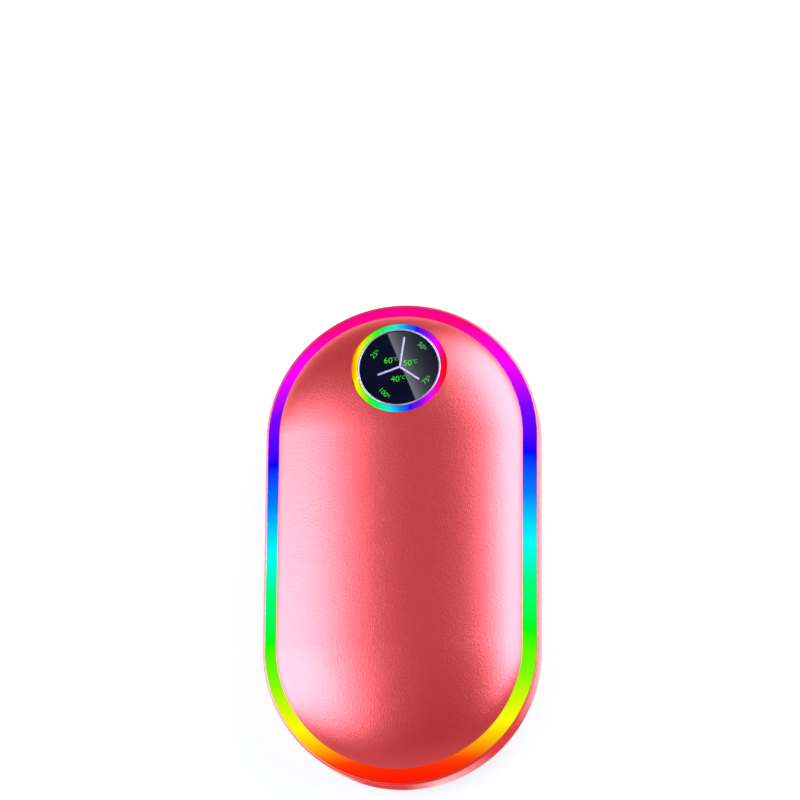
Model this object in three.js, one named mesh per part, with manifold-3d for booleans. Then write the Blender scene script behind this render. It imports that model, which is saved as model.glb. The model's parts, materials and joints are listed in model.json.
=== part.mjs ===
// A palm-size rechargeable hand warmer, lying on its flat back.
// Millimetres. +Z rises through the domed front, +Y points to the display end,
// and the origin is under the middle of the back.
import * as THREE from 'three';
import { mergeVertices } from 'three/addons/utils/BufferGeometryUtils.js';
import Module from 'manifold-3d';

const wasm = await Module();
wasm.setup();

// Housing: a capsule outline, two round ends pulled apart along Y
const BODY_WIDTH = 60;
const BODY_LENGTH = 106;
const BODY_HEIGHT = 24.8;
const DOME_RISE = 5.9;
const SHELL_WALL = 1.2;
const BASE_FILLET = 9;
const SKIRT_DEPTH = 3;
const DOME_FULLNESS_SHARE = 1.04;

// Light ring between the shells
const RIM_LIP = 0.5;
const GLOW_WIDTH = 2.8;
const GLOW_RISE = 2.5;
const LEDGE_WIDTH = 1;
const RING_FOOT = 3.1;

// Clearances, and how far a cut runs past the face it opens
const FIT_GAP = 0.3;
const GLUE_GAP = 0.15;
const SLIDE_GAP = 0.15;
const SOLDER_GAP = 0.05;
const OVERRUN = 1;

// Heating films, their insulation and temperature sensors
const HEATER_THICKNESS = 0.3;
const REAR_HEATER_INSET = 2;
const PAD_THICKNESS = 1;
const FRONT_HEATER_INSET = 6;
const FRONT_HEATER_SETBACK = 4.9;
const SENSOR_SIZE = 3;
const SENSOR_WIDTH = 2;
const SENSOR_THICKNESS = 0.8;
const SENSOR_OFFSET = 6;

// Light strip behind the ring
const LED_COUNT = 26;
const LED_WIDTH = 1.8;
const LED_DEPTH = 0.8;
const LED_CLEARANCE = 0.5;
const STRIP_THICKNESS = 0.3;

// Battery tray and front frame
const TRAY_WALL = 1.2;
const FLANGE_THICKNESS = 1.2;
const FRAME_THICKNESS = 1.2;
const FRAME_DROP = 2.1;
const FRAME_CLEARANCE = 0.4;
const RIB_THICKNESS = 1.2;
const RIB_PITCH = 15;
const RIB_INSET = 2;
const BULKHEAD_SETBACK = 0.8;
const BULKHEAD_RISE = 3.4;

// Battery pouch, its foam and its protection board
const POUCH_SIDE_GAP = 2.9;
const POUCH_SETBACK = 3.5;
const POUCH_END_GAP = 1;
const POUCH_ROUND = 1.6;
const FOAM_THICKNESS = 0.6;
const FOAM_INSET = 3;
const GUARD_BOARD_WIDTH = 30;
const GUARD_BOARD_THICKNESS = 1;
const GUARD_BOARD_LIFT = 1;
const GUARD_BOARD_RISE = 7.5;
const TAB_WIDTH = 4;
const TAB_THICKNESS = 0.3;
const TAB_OFFSET = 8;

// Screws, all of one size
const SCREW_RADIUS = 1;
const SCREW_LENGTH = 6;
const SCREW_HEAD_RADIUS = 1.8;
const SCREW_HEAD_HEIGHT = 1.2;
const SCREW_RECESS_RADIUS = 0.8;
const SCREW_RECESS_DEPTH = 0.6;
const BOSS_WALL = 1.2;
const FOOT_SCREW_OFFSET = 9;
const FOOT_SCREW_INSET = 2.3;
const HEAD_SCREW_INSET = 3.4;
const HEAD_SCREW_REACH = 4;

// Main circuit board and what stands on it
const BOARD_THICKNESS = 1.2;
const BOARD_LIFT = 2.7;
const BOARD_SIDE_GAP = 6.4;
const BOARD_SETBACK = 4.6;
const BOARD_TONGUE_HALF_WIDTH = 7;
const STANDOFF_RADIUS = 1.8;
const STANDOFF_INSET = 4.5;
const STANDOFF_NEAR = 7;
const STANDOFF_FAR = 15.5;
const PART_COLUMN_OFFSET = 7;
const FIRST_PART_REACH = 7.7;
const PART_SPACING = 0.3;
const INDUCTOR_SIZE = 5;
const INDUCTOR_HEIGHT = 3;
const CHARGER_SIZE = 3;
const CONTROLLER_SIZE = 4;
const CHIP_HEIGHT = 0.9;
const CAPACITOR_RADIUS = 1.6;
const CAPACITOR_HEIGHT = 4.2;
const CAPACITOR_INSET = 1.5;

// Charging port in the end wall
const PORT_WIDTH = 8.94;
const PORT_HEIGHT = 3.26;
const PORT_DEPTH = 7.3;
const PORT_WALL = 0.3;
const PORT_SINK = 0.9;
const PORT_TONGUE_WIDTH = 6.7;
const PORT_TONGUE_THICKNESS = 0.7;
const PORT_TONGUE_SINK = 0.8;
const PORT_BASE_DEPTH = 2;
const BEZEL_MARGIN = 1.4;
const BEZEL_FLANGE = 0.7;
const BEZEL_FLANGE_DEPTH = 1.1;

// Display, which is also the press button, set square to the dome
const DISPLAY_EDGE = 2;
const DISPLAY_SINK = 0.9;
const HALO_RADIUS = 10.4;
const HALO_WIDTH = 1.15;
const HALO_DEPTH = 2.6;
const HALO_CHAMFER = 0.25;
const BUTTON_TRAVEL = 0.4;
const BEZEL_WIDTH = 0.5;
const BEZEL_PROUD = 0.25;
const BEZEL_CHAMFER = 0.15;
const BEZEL_LEDGE = 1;
const BEZEL_LEDGE_THICKNESS = 0.35;
const LENS_SINK = 0.05;
const LENS_THICKNESS = 0.9;
const LEGEND_THICKNESS = 0.15;
const DIVIDER_WIDTH = 0.62;
const DIVIDER_THICKNESS = 0.22;
const DIVIDER_LENGTHS = [7, 5.2, 5.1];
const DIVIDER_ANGLES = [86, -31, -157];
const CARRIER_PLATE = 1;
const CARRIER_WALL = 0.95;
const CARRIER_DEPTH = 2.8;
const CARRIER_POST_RADIUS = 1.5;
const WELL_RADIUS = 1.2;
const WELL_CIRCLE = 5.4;
const WELL_COUNT = 6;
const BARB_COUNT = 3;
const BARB_WIDTH = 2.4;
const BARB_HEIGHT = 0.6;
const BARB_REACH = 0.5;
const BARB_LIFT = 0.2;

// Cup that guides the button, and what it holds
const GUIDE_DEPTH = 4.2;
const GUIDE_LEDGE = 1.3;
const GUIDE_LEDGE_THICKNESS = 0.6;
const EAR_THICKNESS = 1.2;
const EAR_LENGTH = 6;
const EAR_CLEARANCE = 0.8;
const DISPLAY_BOARD_THICKNESS = 1;
const SWITCH_SIZE = 5.2;
const SWITCH_HEIGHT = 1.5;
const SWITCH_FLOOR = 0.3;
const STEM_RADIUS = 1.2;
const STEM_LENGTH = 1.2;

// Wires and flat cable
const WIRE_RADIUS = 0.6;
const LEAD_RADIUS = 0.5;
const RIBBON_WIDTH = 6;
const RIBBON_THICKNESS = 0.3;
const RIBBON_LANDING = 4;
const LEAD_SLOT_HALF_WIDTH = 5;
const LEAD_SLOT_LENGTH = 1.8;
const REAR_LEAD_OFFSET = 2.5;
const FRONT_LEAD_CLEARANCE = 0.8;
const LEAD_LOOP = 1.9;

// Facets
const RIM_STEPS = 48;
const DIAL_STEPS = 36;
const SMALL_STEPS = 12;
const DOME_STEPS = 10;
const FILLET_STEPS = 6;
const ARCH_STEPS = 12;
const WIRE_SIDES = 8;

// Plan radii, from the rim inwards
const END_RADIUS = BODY_WIDTH / 2;
const PULL = BODY_LENGTH / 2 - END_RADIUS;
const REAR_BORE = END_RADIUS - SHELL_WALL;
const GLOW_RADIUS = END_RADIUS - RIM_LIP;
const DOME_RADIUS = GLOW_RADIUS - GLOW_WIDTH;
const SKIRT_RADIUS = DOME_RADIUS - LEDGE_WIDTH;
const SKIRT_BORE = SKIRT_RADIUS - SHELL_WALL;
const RING_BORE = SKIRT_RADIUS + FIT_GAP;
const STRIP_RADIUS = RING_BORE - LED_CLEARANCE - LED_DEPTH;
const TRAY_RADIUS = STRIP_RADIUS - STRIP_THICKNESS - FIT_GAP;
const TRAY_BORE = TRAY_RADIUS - TRAY_WALL;
const FRAME_RADIUS = SKIRT_BORE - FRAME_CLEARANCE;
const FLOOR_RADIUS = END_RADIUS - BASE_FILLET;
const FRONT_HEATER_HALF_WIDTH = SKIRT_BORE - FRONT_HEATER_INSET;
const FRONT_LEAD_OFFSET = HALO_RADIUS + FRONT_LEAD_CLEARANCE;
const DISPLAY_REACH = DOME_RADIUS - HALO_RADIUS - DISPLAY_EDGE;

// Heights: the ring and the frame keep their depth under the dome, the tray stands on the back
const DOME_EDGE = BODY_HEIGHT - DOME_RISE;
const SEAM_HEIGHT = DOME_EDGE - GLOW_RISE;
const REAR_HEATER_TOP = SHELL_WALL + HEATER_THICKNESS;
const TRAY_BOTTOM = REAR_HEATER_TOP + PAD_THICKNESS;
const TRAY_DECK = TRAY_BOTTOM + TRAY_WALL;
const POUCH_BOTTOM = TRAY_DECK + FIT_GAP;
const FRAME_TOP = DOME_EDGE - FRAME_DROP;
const FRAME_BOTTOM = FRAME_TOP - FRAME_THICKNESS;
const POUCH_TOP = FRAME_BOTTOM - FOAM_THICKNESS;
const TRAY_TOP = FRAME_BOTTOM - FIT_GAP;
const SKIRT_BOTTOM = DOME_EDGE - SKIRT_DEPTH;
const RING_BOTTOM = SEAM_HEIGHT - RING_FOOT;
const STRIP_BOTTOM = RING_BOTTOM + FIT_GAP;
const STRIP_TOP = SKIRT_BOTTOM - FIT_GAP;
const BOARD_BOTTOM = TRAY_DECK + BOARD_LIFT;
const BOARD_TOP = BOARD_BOTTOM + BOARD_THICKNESS;
const PORT_CENTRE = BOARD_TOP + FIT_GAP / 2 + PORT_HEIGHT / 2;

// Lengthwise places
const POUCH_HALF_WIDTH = TRAY_BORE - POUCH_SIDE_GAP;
const POUCH_HEAD = PULL - POUCH_SETBACK;
const POUCH_FOOT = POUCH_END_GAP - PULL - Math.sqrt(TRAY_BORE ** 2 - POUCH_HALF_WIDTH ** 2);
const BULKHEAD_NEAR = PULL + BULKHEAD_SETBACK;
const BULKHEAD_FAR = BULKHEAD_NEAR + TRAY_WALL;
const GUARD_BOARD_FAR = BULKHEAD_NEAR - FIT_GAP;
const GUARD_BOARD_NEAR = GUARD_BOARD_FAR - GUARD_BOARD_THICKNESS;
const LEAD_SLOT_CENTRE = BULKHEAD_FAR + FIT_GAP + LEAD_SLOT_LENGTH / 2;
const BOARD_NEAR = PULL + BOARD_SETBACK;
const BOARD_HALF_WIDTH = TRAY_BORE - BOARD_SIDE_GAP;
const STANDOFF_OFFSET = BOARD_HALF_WIDTH - STANDOFF_INSET;
const INDUCTOR_REACH = FIRST_PART_REACH + INDUCTOR_SIZE / 2;
const CAPACITOR_REACH = INDUCTOR_REACH + INDUCTOR_SIZE / 2 + PART_SPACING + CAPACITOR_RADIUS;
const CHARGER_REACH = FIRST_PART_REACH + CHARGER_SIZE / 2;
const CONTROLLER_REACH = CHARGER_REACH + CHARGER_SIZE / 2 + PART_SPACING + CONTROLLER_SIZE / 2;
const PORT_MOUTH = PULL + END_RADIUS - PORT_SINK;
const PORT_BACK = PORT_MOUTH - PORT_DEPTH;
const BEZEL_OUTER_HALF_WIDTH = PORT_WIDTH / 2 + BEZEL_MARGIN;
const BEZEL_FLANGE_HALF_WIDTH = BEZEL_OUTER_HALF_WIDTH + BEZEL_FLANGE;
const BEZEL_FLANGE_FACE = PULL - FIT_GAP + Math.sqrt(REAR_BORE ** 2 - BEZEL_FLANGE_HALF_WIDTH ** 2);
const BEZEL_FLANGE_BACK = BEZEL_FLANGE_FACE - BEZEL_FLANGE_DEPTH;
const BOARD_FAR = BEZEL_FLANGE_BACK - FIT_GAP;

// The dome is an arc of an ellipse, a little wider than the dome itself
const DOME_SPREAD = DOME_RADIUS * DOME_FULLNESS_SHARE;
const DOME_DROP = (BODY_HEIGHT - DOME_EDGE) / (1 - Math.sqrt(1 - DOME_FULLNESS_SHARE ** -2));
const domeHeight = (r) => BODY_HEIGHT - DOME_DROP * (1 - Math.sqrt(1 - (r / DOME_SPREAD) ** 2));
const domeSlope = (r) => (DOME_DROP * r) / (DOME_SPREAD * Math.sqrt(DOME_SPREAD ** 2 - r ** 2));
const underDome = (r, depth) => domeHeight(r) - depth * Math.hypot(1, domeSlope(r));

// Depths of the layers under the dome's outer face
const FRONT_HEATER_DEPTH = SHELL_WALL + GLUE_GAP;
const FRONT_PAD_DEPTH = FRONT_HEATER_DEPTH + HEATER_THICKNESS + GLUE_GAP;
const RIB_DEPTH = FRONT_PAD_DEPTH + PAD_THICKNESS + FIT_GAP;

// Display frame: its own zero is the face of the halo, on the display's axis
const DISPLAY_TILT = Math.atan(domeSlope(DISPLAY_REACH));
const DISPLAY_Y = PULL + DISPLAY_REACH;
const DISPLAY_Z = domeHeight(DISPLAY_REACH) - DISPLAY_SINK;
const FRONT_HEATER_END = DISPLAY_Y - HALO_RADIUS - FRONT_HEATER_SETBACK;
const HALO_BORE = HALO_RADIUS - HALO_WIDTH;
const BEZEL_RADIUS = HALO_BORE - SLIDE_GAP;
const LENS_RADIUS = BEZEL_RADIUS - BEZEL_WIDTH - GLUE_GAP / 2;
const LENS_BOTTOM = -LENS_SINK - LENS_THICKNESS;
const BEZEL_LEDGE_TOP = LENS_BOTTOM - SOLDER_GAP;
const BEZEL_BOTTOM = BEZEL_LEDGE_TOP - BEZEL_LEDGE_THICKNESS;
const CARRIER_RADIUS = HALO_BORE - FIT_GAP;
const CARRIER_TOP = BEZEL_BOTTOM - SOLDER_GAP;
const CARRIER_UNDERSIDE = CARRIER_TOP - CARRIER_PLATE;
const CARRIER_BOTTOM = CARRIER_TOP - CARRIER_DEPTH;
const GUIDE_TOP = -HALO_DEPTH - FIT_GAP;
const GUIDE_BOTTOM = GUIDE_TOP - GUIDE_DEPTH;
const GUIDE_LEDGE_TOP = GUIDE_BOTTOM + GUIDE_LEDGE_THICKNESS;
const DISPLAY_BOARD_BOTTOM = GUIDE_LEDGE_TOP + FIT_GAP;
const DISPLAY_BOARD_TOP = DISPLAY_BOARD_BOTTOM + DISPLAY_BOARD_THICKNESS;
const SWITCH_BOTTOM = DISPLAY_BOARD_TOP + SOLDER_GAP;
const SWITCH_TOP = SWITCH_BOTTOM + SWITCH_HEIGHT;
const STEM_BOTTOM = SWITCH_BOTTOM + SWITCH_FLOOR + BUTTON_TRAVEL + SOLDER_GAP;
const STEM_TOP = STEM_BOTTOM + STEM_LENGTH;
const BARB_BOTTOM = CARRIER_BOTTOM + BARB_LIFT;
const BARB_TOP = BARB_BOTTOM + BARB_HEIGHT;
const EAR_BOTTOM = FRAME_TOP + FIT_GAP;
const EAR_TOP = EAR_BOTTOM + EAR_THICKNESS;
const EAR_REACH = Math.sqrt(SKIRT_BORE ** 2 - (DISPLAY_REACH + EAR_LENGTH / 2) ** 2) - EAR_CLEARANCE;
const EAR_SCREW_OFFSET = (HALO_RADIUS + EAR_REACH) / 2;
const EAR_BOSS_BOTTOM = EAR_TOP - SCREW_LENGTH - FIT_GAP;

const displayFrame = new THREE.Matrix4()
  .makeRotationX(-DISPLAY_TILT)
  .setPosition(0, DISPLAY_Y, DISPLAY_Z);

// Finishes
const finish = (color, roughness, metalness) =>
  new THREE.MeshStandardMaterial({ color, roughness, metalness });
const CORAL_ANODISED = finish('#e8626a', 0.4, 0.9);
const FROSTED_GLOW = finish('#3fd7ff', 0.5, 0);
const SATIN_SILVER = finish('#d8d4e4', 0.25, 1);
const BLACK_LENS = finish('#0b0b14', 0.08, 0);
const BLACK_ABS = finish('#1b1b1d', 0.55, 0);
const WHITE_ABS = finish('#e9e7e2', 0.55, 0);
const GREEN_BOARD = finish('#1d6b3c', 0.5, 0);
const POLYIMIDE = finish('#c8741e', 0.4, 0.1);
const GREY_FOAM = finish('#6c6f73', 0.95, 0);
const POUCH_FOIL = finish('#b9bcc2', 0.4, 0.7);
const NICKEL = finish('#c9c9c4', 0.3, 1);
const STEEL = finish('#9aa0a6', 0.35, 1);
const FERRITE = finish('#3a3a3e', 0.7, 0);
const CHIP_BLACK = finish('#17181a', 0.5, 0);
const SMOKE_FILM = finish('#20242a', 0.3, 0);
const RED_WIRE = finish('#c01f26', 0.5, 0);
const BLACK_WIRE = finish('#141414', 0.5, 0);
const WHITE_WIRE = finish('#eceae4', 0.5, 0);

// Closed mesh to solid; the faces that shrink to nothing at the poles are dropped
function solidOf(geometry) {
  geometry.deleteAttribute('normal');
  geometry.deleteAttribute('uv');
  const merged = mergeVertices(geometry);
  const index = merged.getIndex().array;
  const triVerts = [];
  for (let i = 0; i < index.length; i += 3) {
    const [a, b, c] = index.slice(i, i + 3);
    if (a !== b && b !== c && c !== a) triVerts.push(a, b, c);
  }
  const vertProperties = merged.getAttribute('position').array;
  const outward = new wasm.Mesh({ numProp: 3, vertProperties, triVerts: new Uint32Array(triVerts) });
  const solid = new wasm.Manifold(outward);
  if (solid.volume() > 0) return solid;
  const inward = new wasm.Mesh({
    numProp: 3,
    vertProperties,
    triVerts: new Uint32Array(triVerts.reverse()),
  });
  return new wasm.Manifold(inward);
}

function geometryOf(solid) {
  const { vertProperties, triVerts } = solid.getMesh();
  const geometry = new THREE.BufferGeometry();
  geometry.setAttribute('position', new THREE.BufferAttribute(vertProperties, 3));
  geometry.setIndex(new THREE.BufferAttribute(triVerts, 1));
  geometry.computeVertexNormals();
  return geometry;
}

const join = (first, ...others) => others.reduce((sum, solid) => sum.add(solid), first);
const cut = (solid, ...tools) => tools.reduce((left, tool) => left.subtract(tool), solid);

// A solid of revolution about Z from [radius, height] points; flats touch the true circle
function turned(profile, steps = DIAL_STEPS, pull = 0) {
  const halfStep = Math.PI / steps;
  const points = profile.map(([r, z]) => new THREE.Vector2(r / Math.cos(halfStep), z));
  const geometry = new THREE.LatheGeometry(points, steps, halfStep).rotateX(Math.PI / 2);
  const position = geometry.getAttribute('position');
  for (let i = 0; i < position.count; i++) {
    const angle = halfStep * (1 + 2 * Math.floor(i / points.length));
    position.setY(i, position.getY(i) - pull * Math.sign(Math.cos(angle)));
  }
  return solidOf(geometry);
}

// The same, pulled apart along Y, so that its two side flats stretch into straight flanks
const stadium = (profile) => turned(profile, RIM_STEPS, PULL);

const discProfile = (radius, bottom, top) => [[0, bottom], [radius, bottom], [radius, top], [0, top]];
const bandProfile = (inner, outer, bottom, top) => [
  [inner, bottom],
  [outer, bottom],
  [outer, top],
  [inner, top],
  [inner, bottom],
];

const rod = (radius, bottom, top, x = 0, y = 0, steps = SMALL_STEPS) =>
  turned(discProfile(radius, bottom, top), steps).translate([x, y, 0]);

// A quarter or part arc as [radius, height] points, angles in turns of pi
function arc(centreRadius, centreHeight, radius, from, to, steps) {
  return Array.from({ length: steps + 1 }, (_, i) => {
    const angle = Math.PI * (from + ((to - from) * i) / steps);
    return [centreRadius + radius * Math.cos(angle), centreHeight + radius * Math.sin(angle)];
  });
}

// A box from its lowest to its highest corner
function block([x0, y0, z0], [x1, y1, z1]) {
  const box = new THREE.BoxGeometry(x1 - x0, y1 - y0, z1 - z0);
  return solidOf(box.translate((x0 + x1) / 2, (y0 + y1) / 2, (z0 + z1) / 2));
}

const slab = (halfWidth, near, far, bottom, top) =>
  block([-halfWidth, near, bottom], [halfWidth, far, top]);

// A bar along Y from a shape drawn in X and Z
function barAlongY(shape, near, far, curveSegments = SMALL_STEPS / 2) {
  const bar = new THREE.ExtrudeGeometry(shape, { depth: far - near, bevelEnabled: false, curveSegments });
  return solidOf(bar.rotateX(Math.PI / 2).translate(0, far, 0));
}

function slotShape(halfWidth, halfHeight, centre) {
  const bend = halfWidth - halfHeight;
  return new THREE.Shape()
    .absarc(bend, centre, halfHeight, -Math.PI / 2, Math.PI / 2)
    .absarc(-bend, centre, halfHeight, Math.PI / 2, (3 * Math.PI) / 2);
}

// Shape between two depths under the dome, over its straight flank
function archShape(halfWidth, topHeight, bottomHeight) {
  const across = Array.from({ length: ARCH_STEPS + 1 }, (_, i) => halfWidth * ((2 * i) / ARCH_STEPS - 1));
  const top = across.map((x) => new THREE.Vector2(x, topHeight(Math.abs(x))));
  const bottom = across.map((x) => new THREE.Vector2(x, bottomHeight(Math.abs(x)))).reverse();
  return new THREE.Shape([...top, ...bottom]);
}

function wire(points, radius) {
  const route = new THREE.CatmullRomCurve3(points.map((p) => new THREE.Vector3(...p)));
  const section = new THREE.Shape(
    Array.from({ length: WIRE_SIDES }, (_, i) => {
      const angle = (2 * Math.PI * i) / WIRE_SIDES;
      return new THREE.Vector2(radius * Math.cos(angle), radius * Math.sin(angle));
    }),
  );
  const steps = Math.ceil(route.getLength() / (4 * radius));
  return solidOf(new THREE.ExtrudeGeometry(section, { steps, extrudePath: route, bevelEnabled: false }));
}

// Housing shells
function rearShell() {
  const outside = [[0, 0], ...arc(FLOOR_RADIUS, BASE_FILLET, BASE_FILLET, -0.5, 0, FILLET_STEPS)];
  const inside = [
    [0, SHELL_WALL],
    ...arc(FLOOR_RADIUS, BASE_FILLET, BASE_FILLET - SHELL_WALL, -0.5, 0, FILLET_STEPS),
  ];
  const cup = stadium([...outside, [END_RADIUS, SEAM_HEIGHT], [0, SEAM_HEIGHT]]);
  const room = stadium([...inside, [REAR_BORE, SEAM_HEIGHT + OVERRUN], [0, SEAM_HEIGHT + OVERRUN]]);
  return cut(cup, room, portPlug(GLUE_GAP, BEZEL_FLANGE_BACK, PORT_MOUTH + PORT_SINK + OVERRUN));
}

function domeArc(edgeRadius, height) {
  const edgeAngle = Math.asin(edgeRadius / DOME_SPREAD);
  return Array.from({ length: DOME_STEPS + 1 }, (_, i) => {
    const r = DOME_SPREAD * Math.sin(edgeAngle * (1 - i / DOME_STEPS));
    return [r, height(r)];
  });
}

function frontShell() {
  const dome = stadium([[0, DOME_EDGE], ...domeArc(DOME_RADIUS, domeHeight)]);
  const skirt = stadium(discProfile(SKIRT_RADIUS, SKIRT_BOTTOM, DOME_EDGE));
  const room = stadium([
    [0, SKIRT_BOTTOM - OVERRUN],
    [SKIRT_BORE, SKIRT_BOTTOM - OVERRUN],
    ...domeArc(SKIRT_BORE, (r) => underDome(r, SHELL_WALL)),
  ]);
  const well = turned(discProfile(HALO_RADIUS + GLUE_GAP, GUIDE_BOTTOM, SHELL_WALL + OVERRUN));
  return cut(join(dome, skirt), room, well.transform(displayFrame.elements));
}

// Frosted ring: a sloping glow face outside, a ledge for the front shell, a foot inside the rear one
function lightRing() {
  return stadium([
    [RING_BORE, RING_BOTTOM],
    [REAR_BORE - FIT_GAP, RING_BOTTOM],
    [REAR_BORE - FIT_GAP, SEAM_HEIGHT],
    [GLOW_RADIUS, SEAM_HEIGHT],
    [DOME_RADIUS, DOME_EDGE],
    [RING_BORE, DOME_EDGE],
    [RING_BORE, RING_BOTTOM],
  ]);
}

// Place on a stadium outline of the given radius, at a share of the way round
function outlineStation(radius, wayShare) {
  const straight = 2 * PULL;
  const bend = Math.PI * radius;
  const lap = wayShare * 2;
  const far = lap >= 1;
  const way = (lap % 1) * (straight + bend);
  const angle = Math.max(0, way - straight) / radius;
  const x = radius * Math.cos(angle);
  const y = way < straight ? way - PULL : PULL + radius * Math.sin(angle);
  return far ? { x: -x, y: -y, angle: angle + Math.PI } : { x, y, angle };
}

function ringLightStrip() {
  const inner = STRIP_RADIUS - STRIP_THICKNESS;
  const band = stadium(bandProfile(inner, STRIP_RADIUS, STRIP_BOTTOM, STRIP_TOP));
  const depth = LED_DEPTH + STRIP_THICKNESS / 2;
  const middle = STRIP_RADIUS + LED_DEPTH - depth / 2;
  const lamps = Array.from({ length: LED_COUNT }, (_, i) => {
    const { x, y, angle } = outlineStation(middle, (i + 0.5) / LED_COUNT);
    const height = STRIP_TOP - STRIP_BOTTOM - FIT_GAP;
    const lamp = new THREE.BoxGeometry(depth, LED_WIDTH, height);
    return solidOf(lamp.rotateZ(angle).translate(x, y, (STRIP_BOTTOM + STRIP_TOP) / 2));
  });
  return join(band, ...lamps);
}

// Screw places: two at the foot, two beside the display
const FOOT_SCREW_REACH = Math.sqrt((TRAY_BORE - FOOT_SCREW_INSET) ** 2 - FOOT_SCREW_OFFSET ** 2);
const HEAD_SCREW_OFFSET = TRAY_BORE - HEAD_SCREW_INSET;
const FRAME_SCREWS = [
  [-FOOT_SCREW_OFFSET, -PULL - FOOT_SCREW_REACH],
  [FOOT_SCREW_OFFSET, -PULL - FOOT_SCREW_REACH],
  [-HEAD_SCREW_OFFSET, PULL + HEAD_SCREW_REACH],
  [HEAD_SCREW_OFFSET, PULL + HEAD_SCREW_REACH],
];
const EAR_SCREWS = [-1, 1].map((side) => [side * EAR_SCREW_OFFSET, DISPLAY_Y]);
const SCREW_BORE = SCREW_RADIUS + FIT_GAP;
const BOSS_RADIUS = SCREW_BORE + BOSS_WALL;

function screw() {
  const body = join(
    rod(SCREW_RADIUS, -SCREW_LENGTH, 0),
    rod(SCREW_HEAD_RADIUS, 0, SCREW_HEAD_HEIGHT),
  );
  const recess = rod(SCREW_RECESS_RADIUS, SCREW_HEAD_HEIGHT - SCREW_RECESS_DEPTH, SCREW_HEAD_HEIGHT + OVERRUN);
  return cut(body, recess);
}

// Tray: floor, wall, ring flange, bosses, board standoffs and the bulkhead between the two bays
function batteryTray() {
  const cup = cut(
    stadium(discProfile(TRAY_RADIUS, TRAY_BOTTOM, TRAY_TOP)),
    stadium(discProfile(TRAY_BORE, TRAY_DECK, TRAY_TOP + OVERRUN)),
  );
  const flangeBottom = RING_BOTTOM - FLANGE_THICKNESS;
  const middle = (TRAY_RADIUS + TRAY_BORE) / 2;
  const flange = stadium(bandProfile(middle, REAR_BORE - FIT_GAP, flangeBottom, RING_BOTTOM));
  const bulkheadTop = TRAY_DECK + BULKHEAD_RISE;
  const bulkhead = slab(middle, BULKHEAD_NEAR, BULKHEAD_FAR, TRAY_DECK, bulkheadTop);
  const bosses = FRAME_SCREWS.map(([x, y]) => rod(BOSS_RADIUS, TRAY_DECK, TRAY_TOP, x, y));
  const bores = FRAME_SCREWS.map(([x, y]) => rod(SCREW_BORE, TRAY_DECK + OVERRUN, TRAY_TOP + OVERRUN, x, y));
  const standoffs = [STANDOFF_NEAR, STANDOFF_FAR].flatMap((reach) =>
    [-1, 1].map((side) => rod(STANDOFF_RADIUS, TRAY_DECK, BOARD_BOTTOM, side * STANDOFF_OFFSET, PULL + reach)),
  );
  const portWindow = slab(
    BOARD_TONGUE_HALF_WIDTH + OVERRUN,
    BOARD_NEAR,
    PULL + REAR_BORE,
    BOARD_BOTTOM - FIT_GAP,
    RING_BOTTOM + OVERRUN,
  );
  const leadSlot = leadHole(TRAY_BOTTOM - OVERRUN, TRAY_DECK + OVERRUN);
  const reliefs = EAR_SCREWS.map(([x, y]) =>
    rod(BOSS_RADIUS + FIT_GAP, EAR_BOSS_BOTTOM - FIT_GAP, TRAY_TOP + OVERRUN, x, y),
  );
  const body = join(cup, flange, bulkhead, ...bosses, ...standoffs);
  return cut(
    body,
    ...bores,
    ...reliefs,
    portWindow,
    leadSlot,
    cupRoom(GUIDE_BOTTOM - FRAME_CLEARANCE),
  );
}

// Room round the display cup: the tray leaves it down to a depth, the frame all the way
const cupRoom = (bottom) =>
  turned(discProfile(HALO_RADIUS + FRAME_CLEARANCE, bottom, 0)).transform(displayFrame.elements);

const leadHole = (bottom, top) =>
  slab(
    LEAD_SLOT_HALF_WIDTH,
    LEAD_SLOT_CENTRE - LEAD_SLOT_LENGTH / 2,
    LEAD_SLOT_CENTRE + LEAD_SLOT_LENGTH / 2,
    bottom,
    top,
  );

// Frame over the battery: a plate with arched ribs, open round the display cup
function frontFrame() {
  const plate = stadium(discProfile(FRAME_RADIUS, FRAME_BOTTOM, FRAME_TOP));
  const ribTop = (x) => underDome(x, RIB_DEPTH);
  const ribShape = archShape(FRONT_HEATER_HALF_WIDTH - RIB_INSET, ribTop, () => FRAME_TOP - FRAME_THICKNESS / 2);
  const ribs = [-1, 0, 1].map((i) => {
    const near = i * RIB_PITCH - RIB_THICKNESS / 2;
    return barAlongY(ribShape, near, near + RIB_THICKNESS);
  });
  const bosses = EAR_SCREWS.map(([x, y]) => rod(BOSS_RADIUS, EAR_BOSS_BOTTOM, FRAME_BOTTOM, x, y));
  const bores = EAR_SCREWS.map(([x, y]) =>
    rod(SCREW_BORE, EAR_BOSS_BOTTOM - OVERRUN, FRAME_TOP + OVERRUN, x, y),
  );
  const holes = FRAME_SCREWS.map(([x, y]) => rod(SCREW_BORE, FRAME_BOTTOM - OVERRUN, FRAME_TOP + OVERRUN, x, y));
  const leadHoles = [-1, 1].map((side) =>
    rod(
      LEAD_RADIUS + FIT_GAP,
      FRAME_BOTTOM - OVERRUN,
      FRAME_TOP + OVERRUN,
      side * FRONT_LEAD_OFFSET,
      LEAD_SLOT_CENTRE,
    ),
  );
  const end = slab(END_RADIUS, DISPLAY_Y + EAR_LENGTH, PULL + END_RADIUS, FRAME_BOTTOM - OVERRUN, EAR_TOP);
  return cut(
    join(plate, ...ribs, ...bosses),
    ...bores,
    ...holes,
    ...leadHoles,
    cupRoom(-DISPLAY_Z),
    end,
  );
}

// Heating films and their insulation
const rearHeater = () =>
  stadium(discProfile(FLOOR_RADIUS - REAR_HEATER_INSET, SHELL_WALL, REAR_HEATER_TOP));

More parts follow.
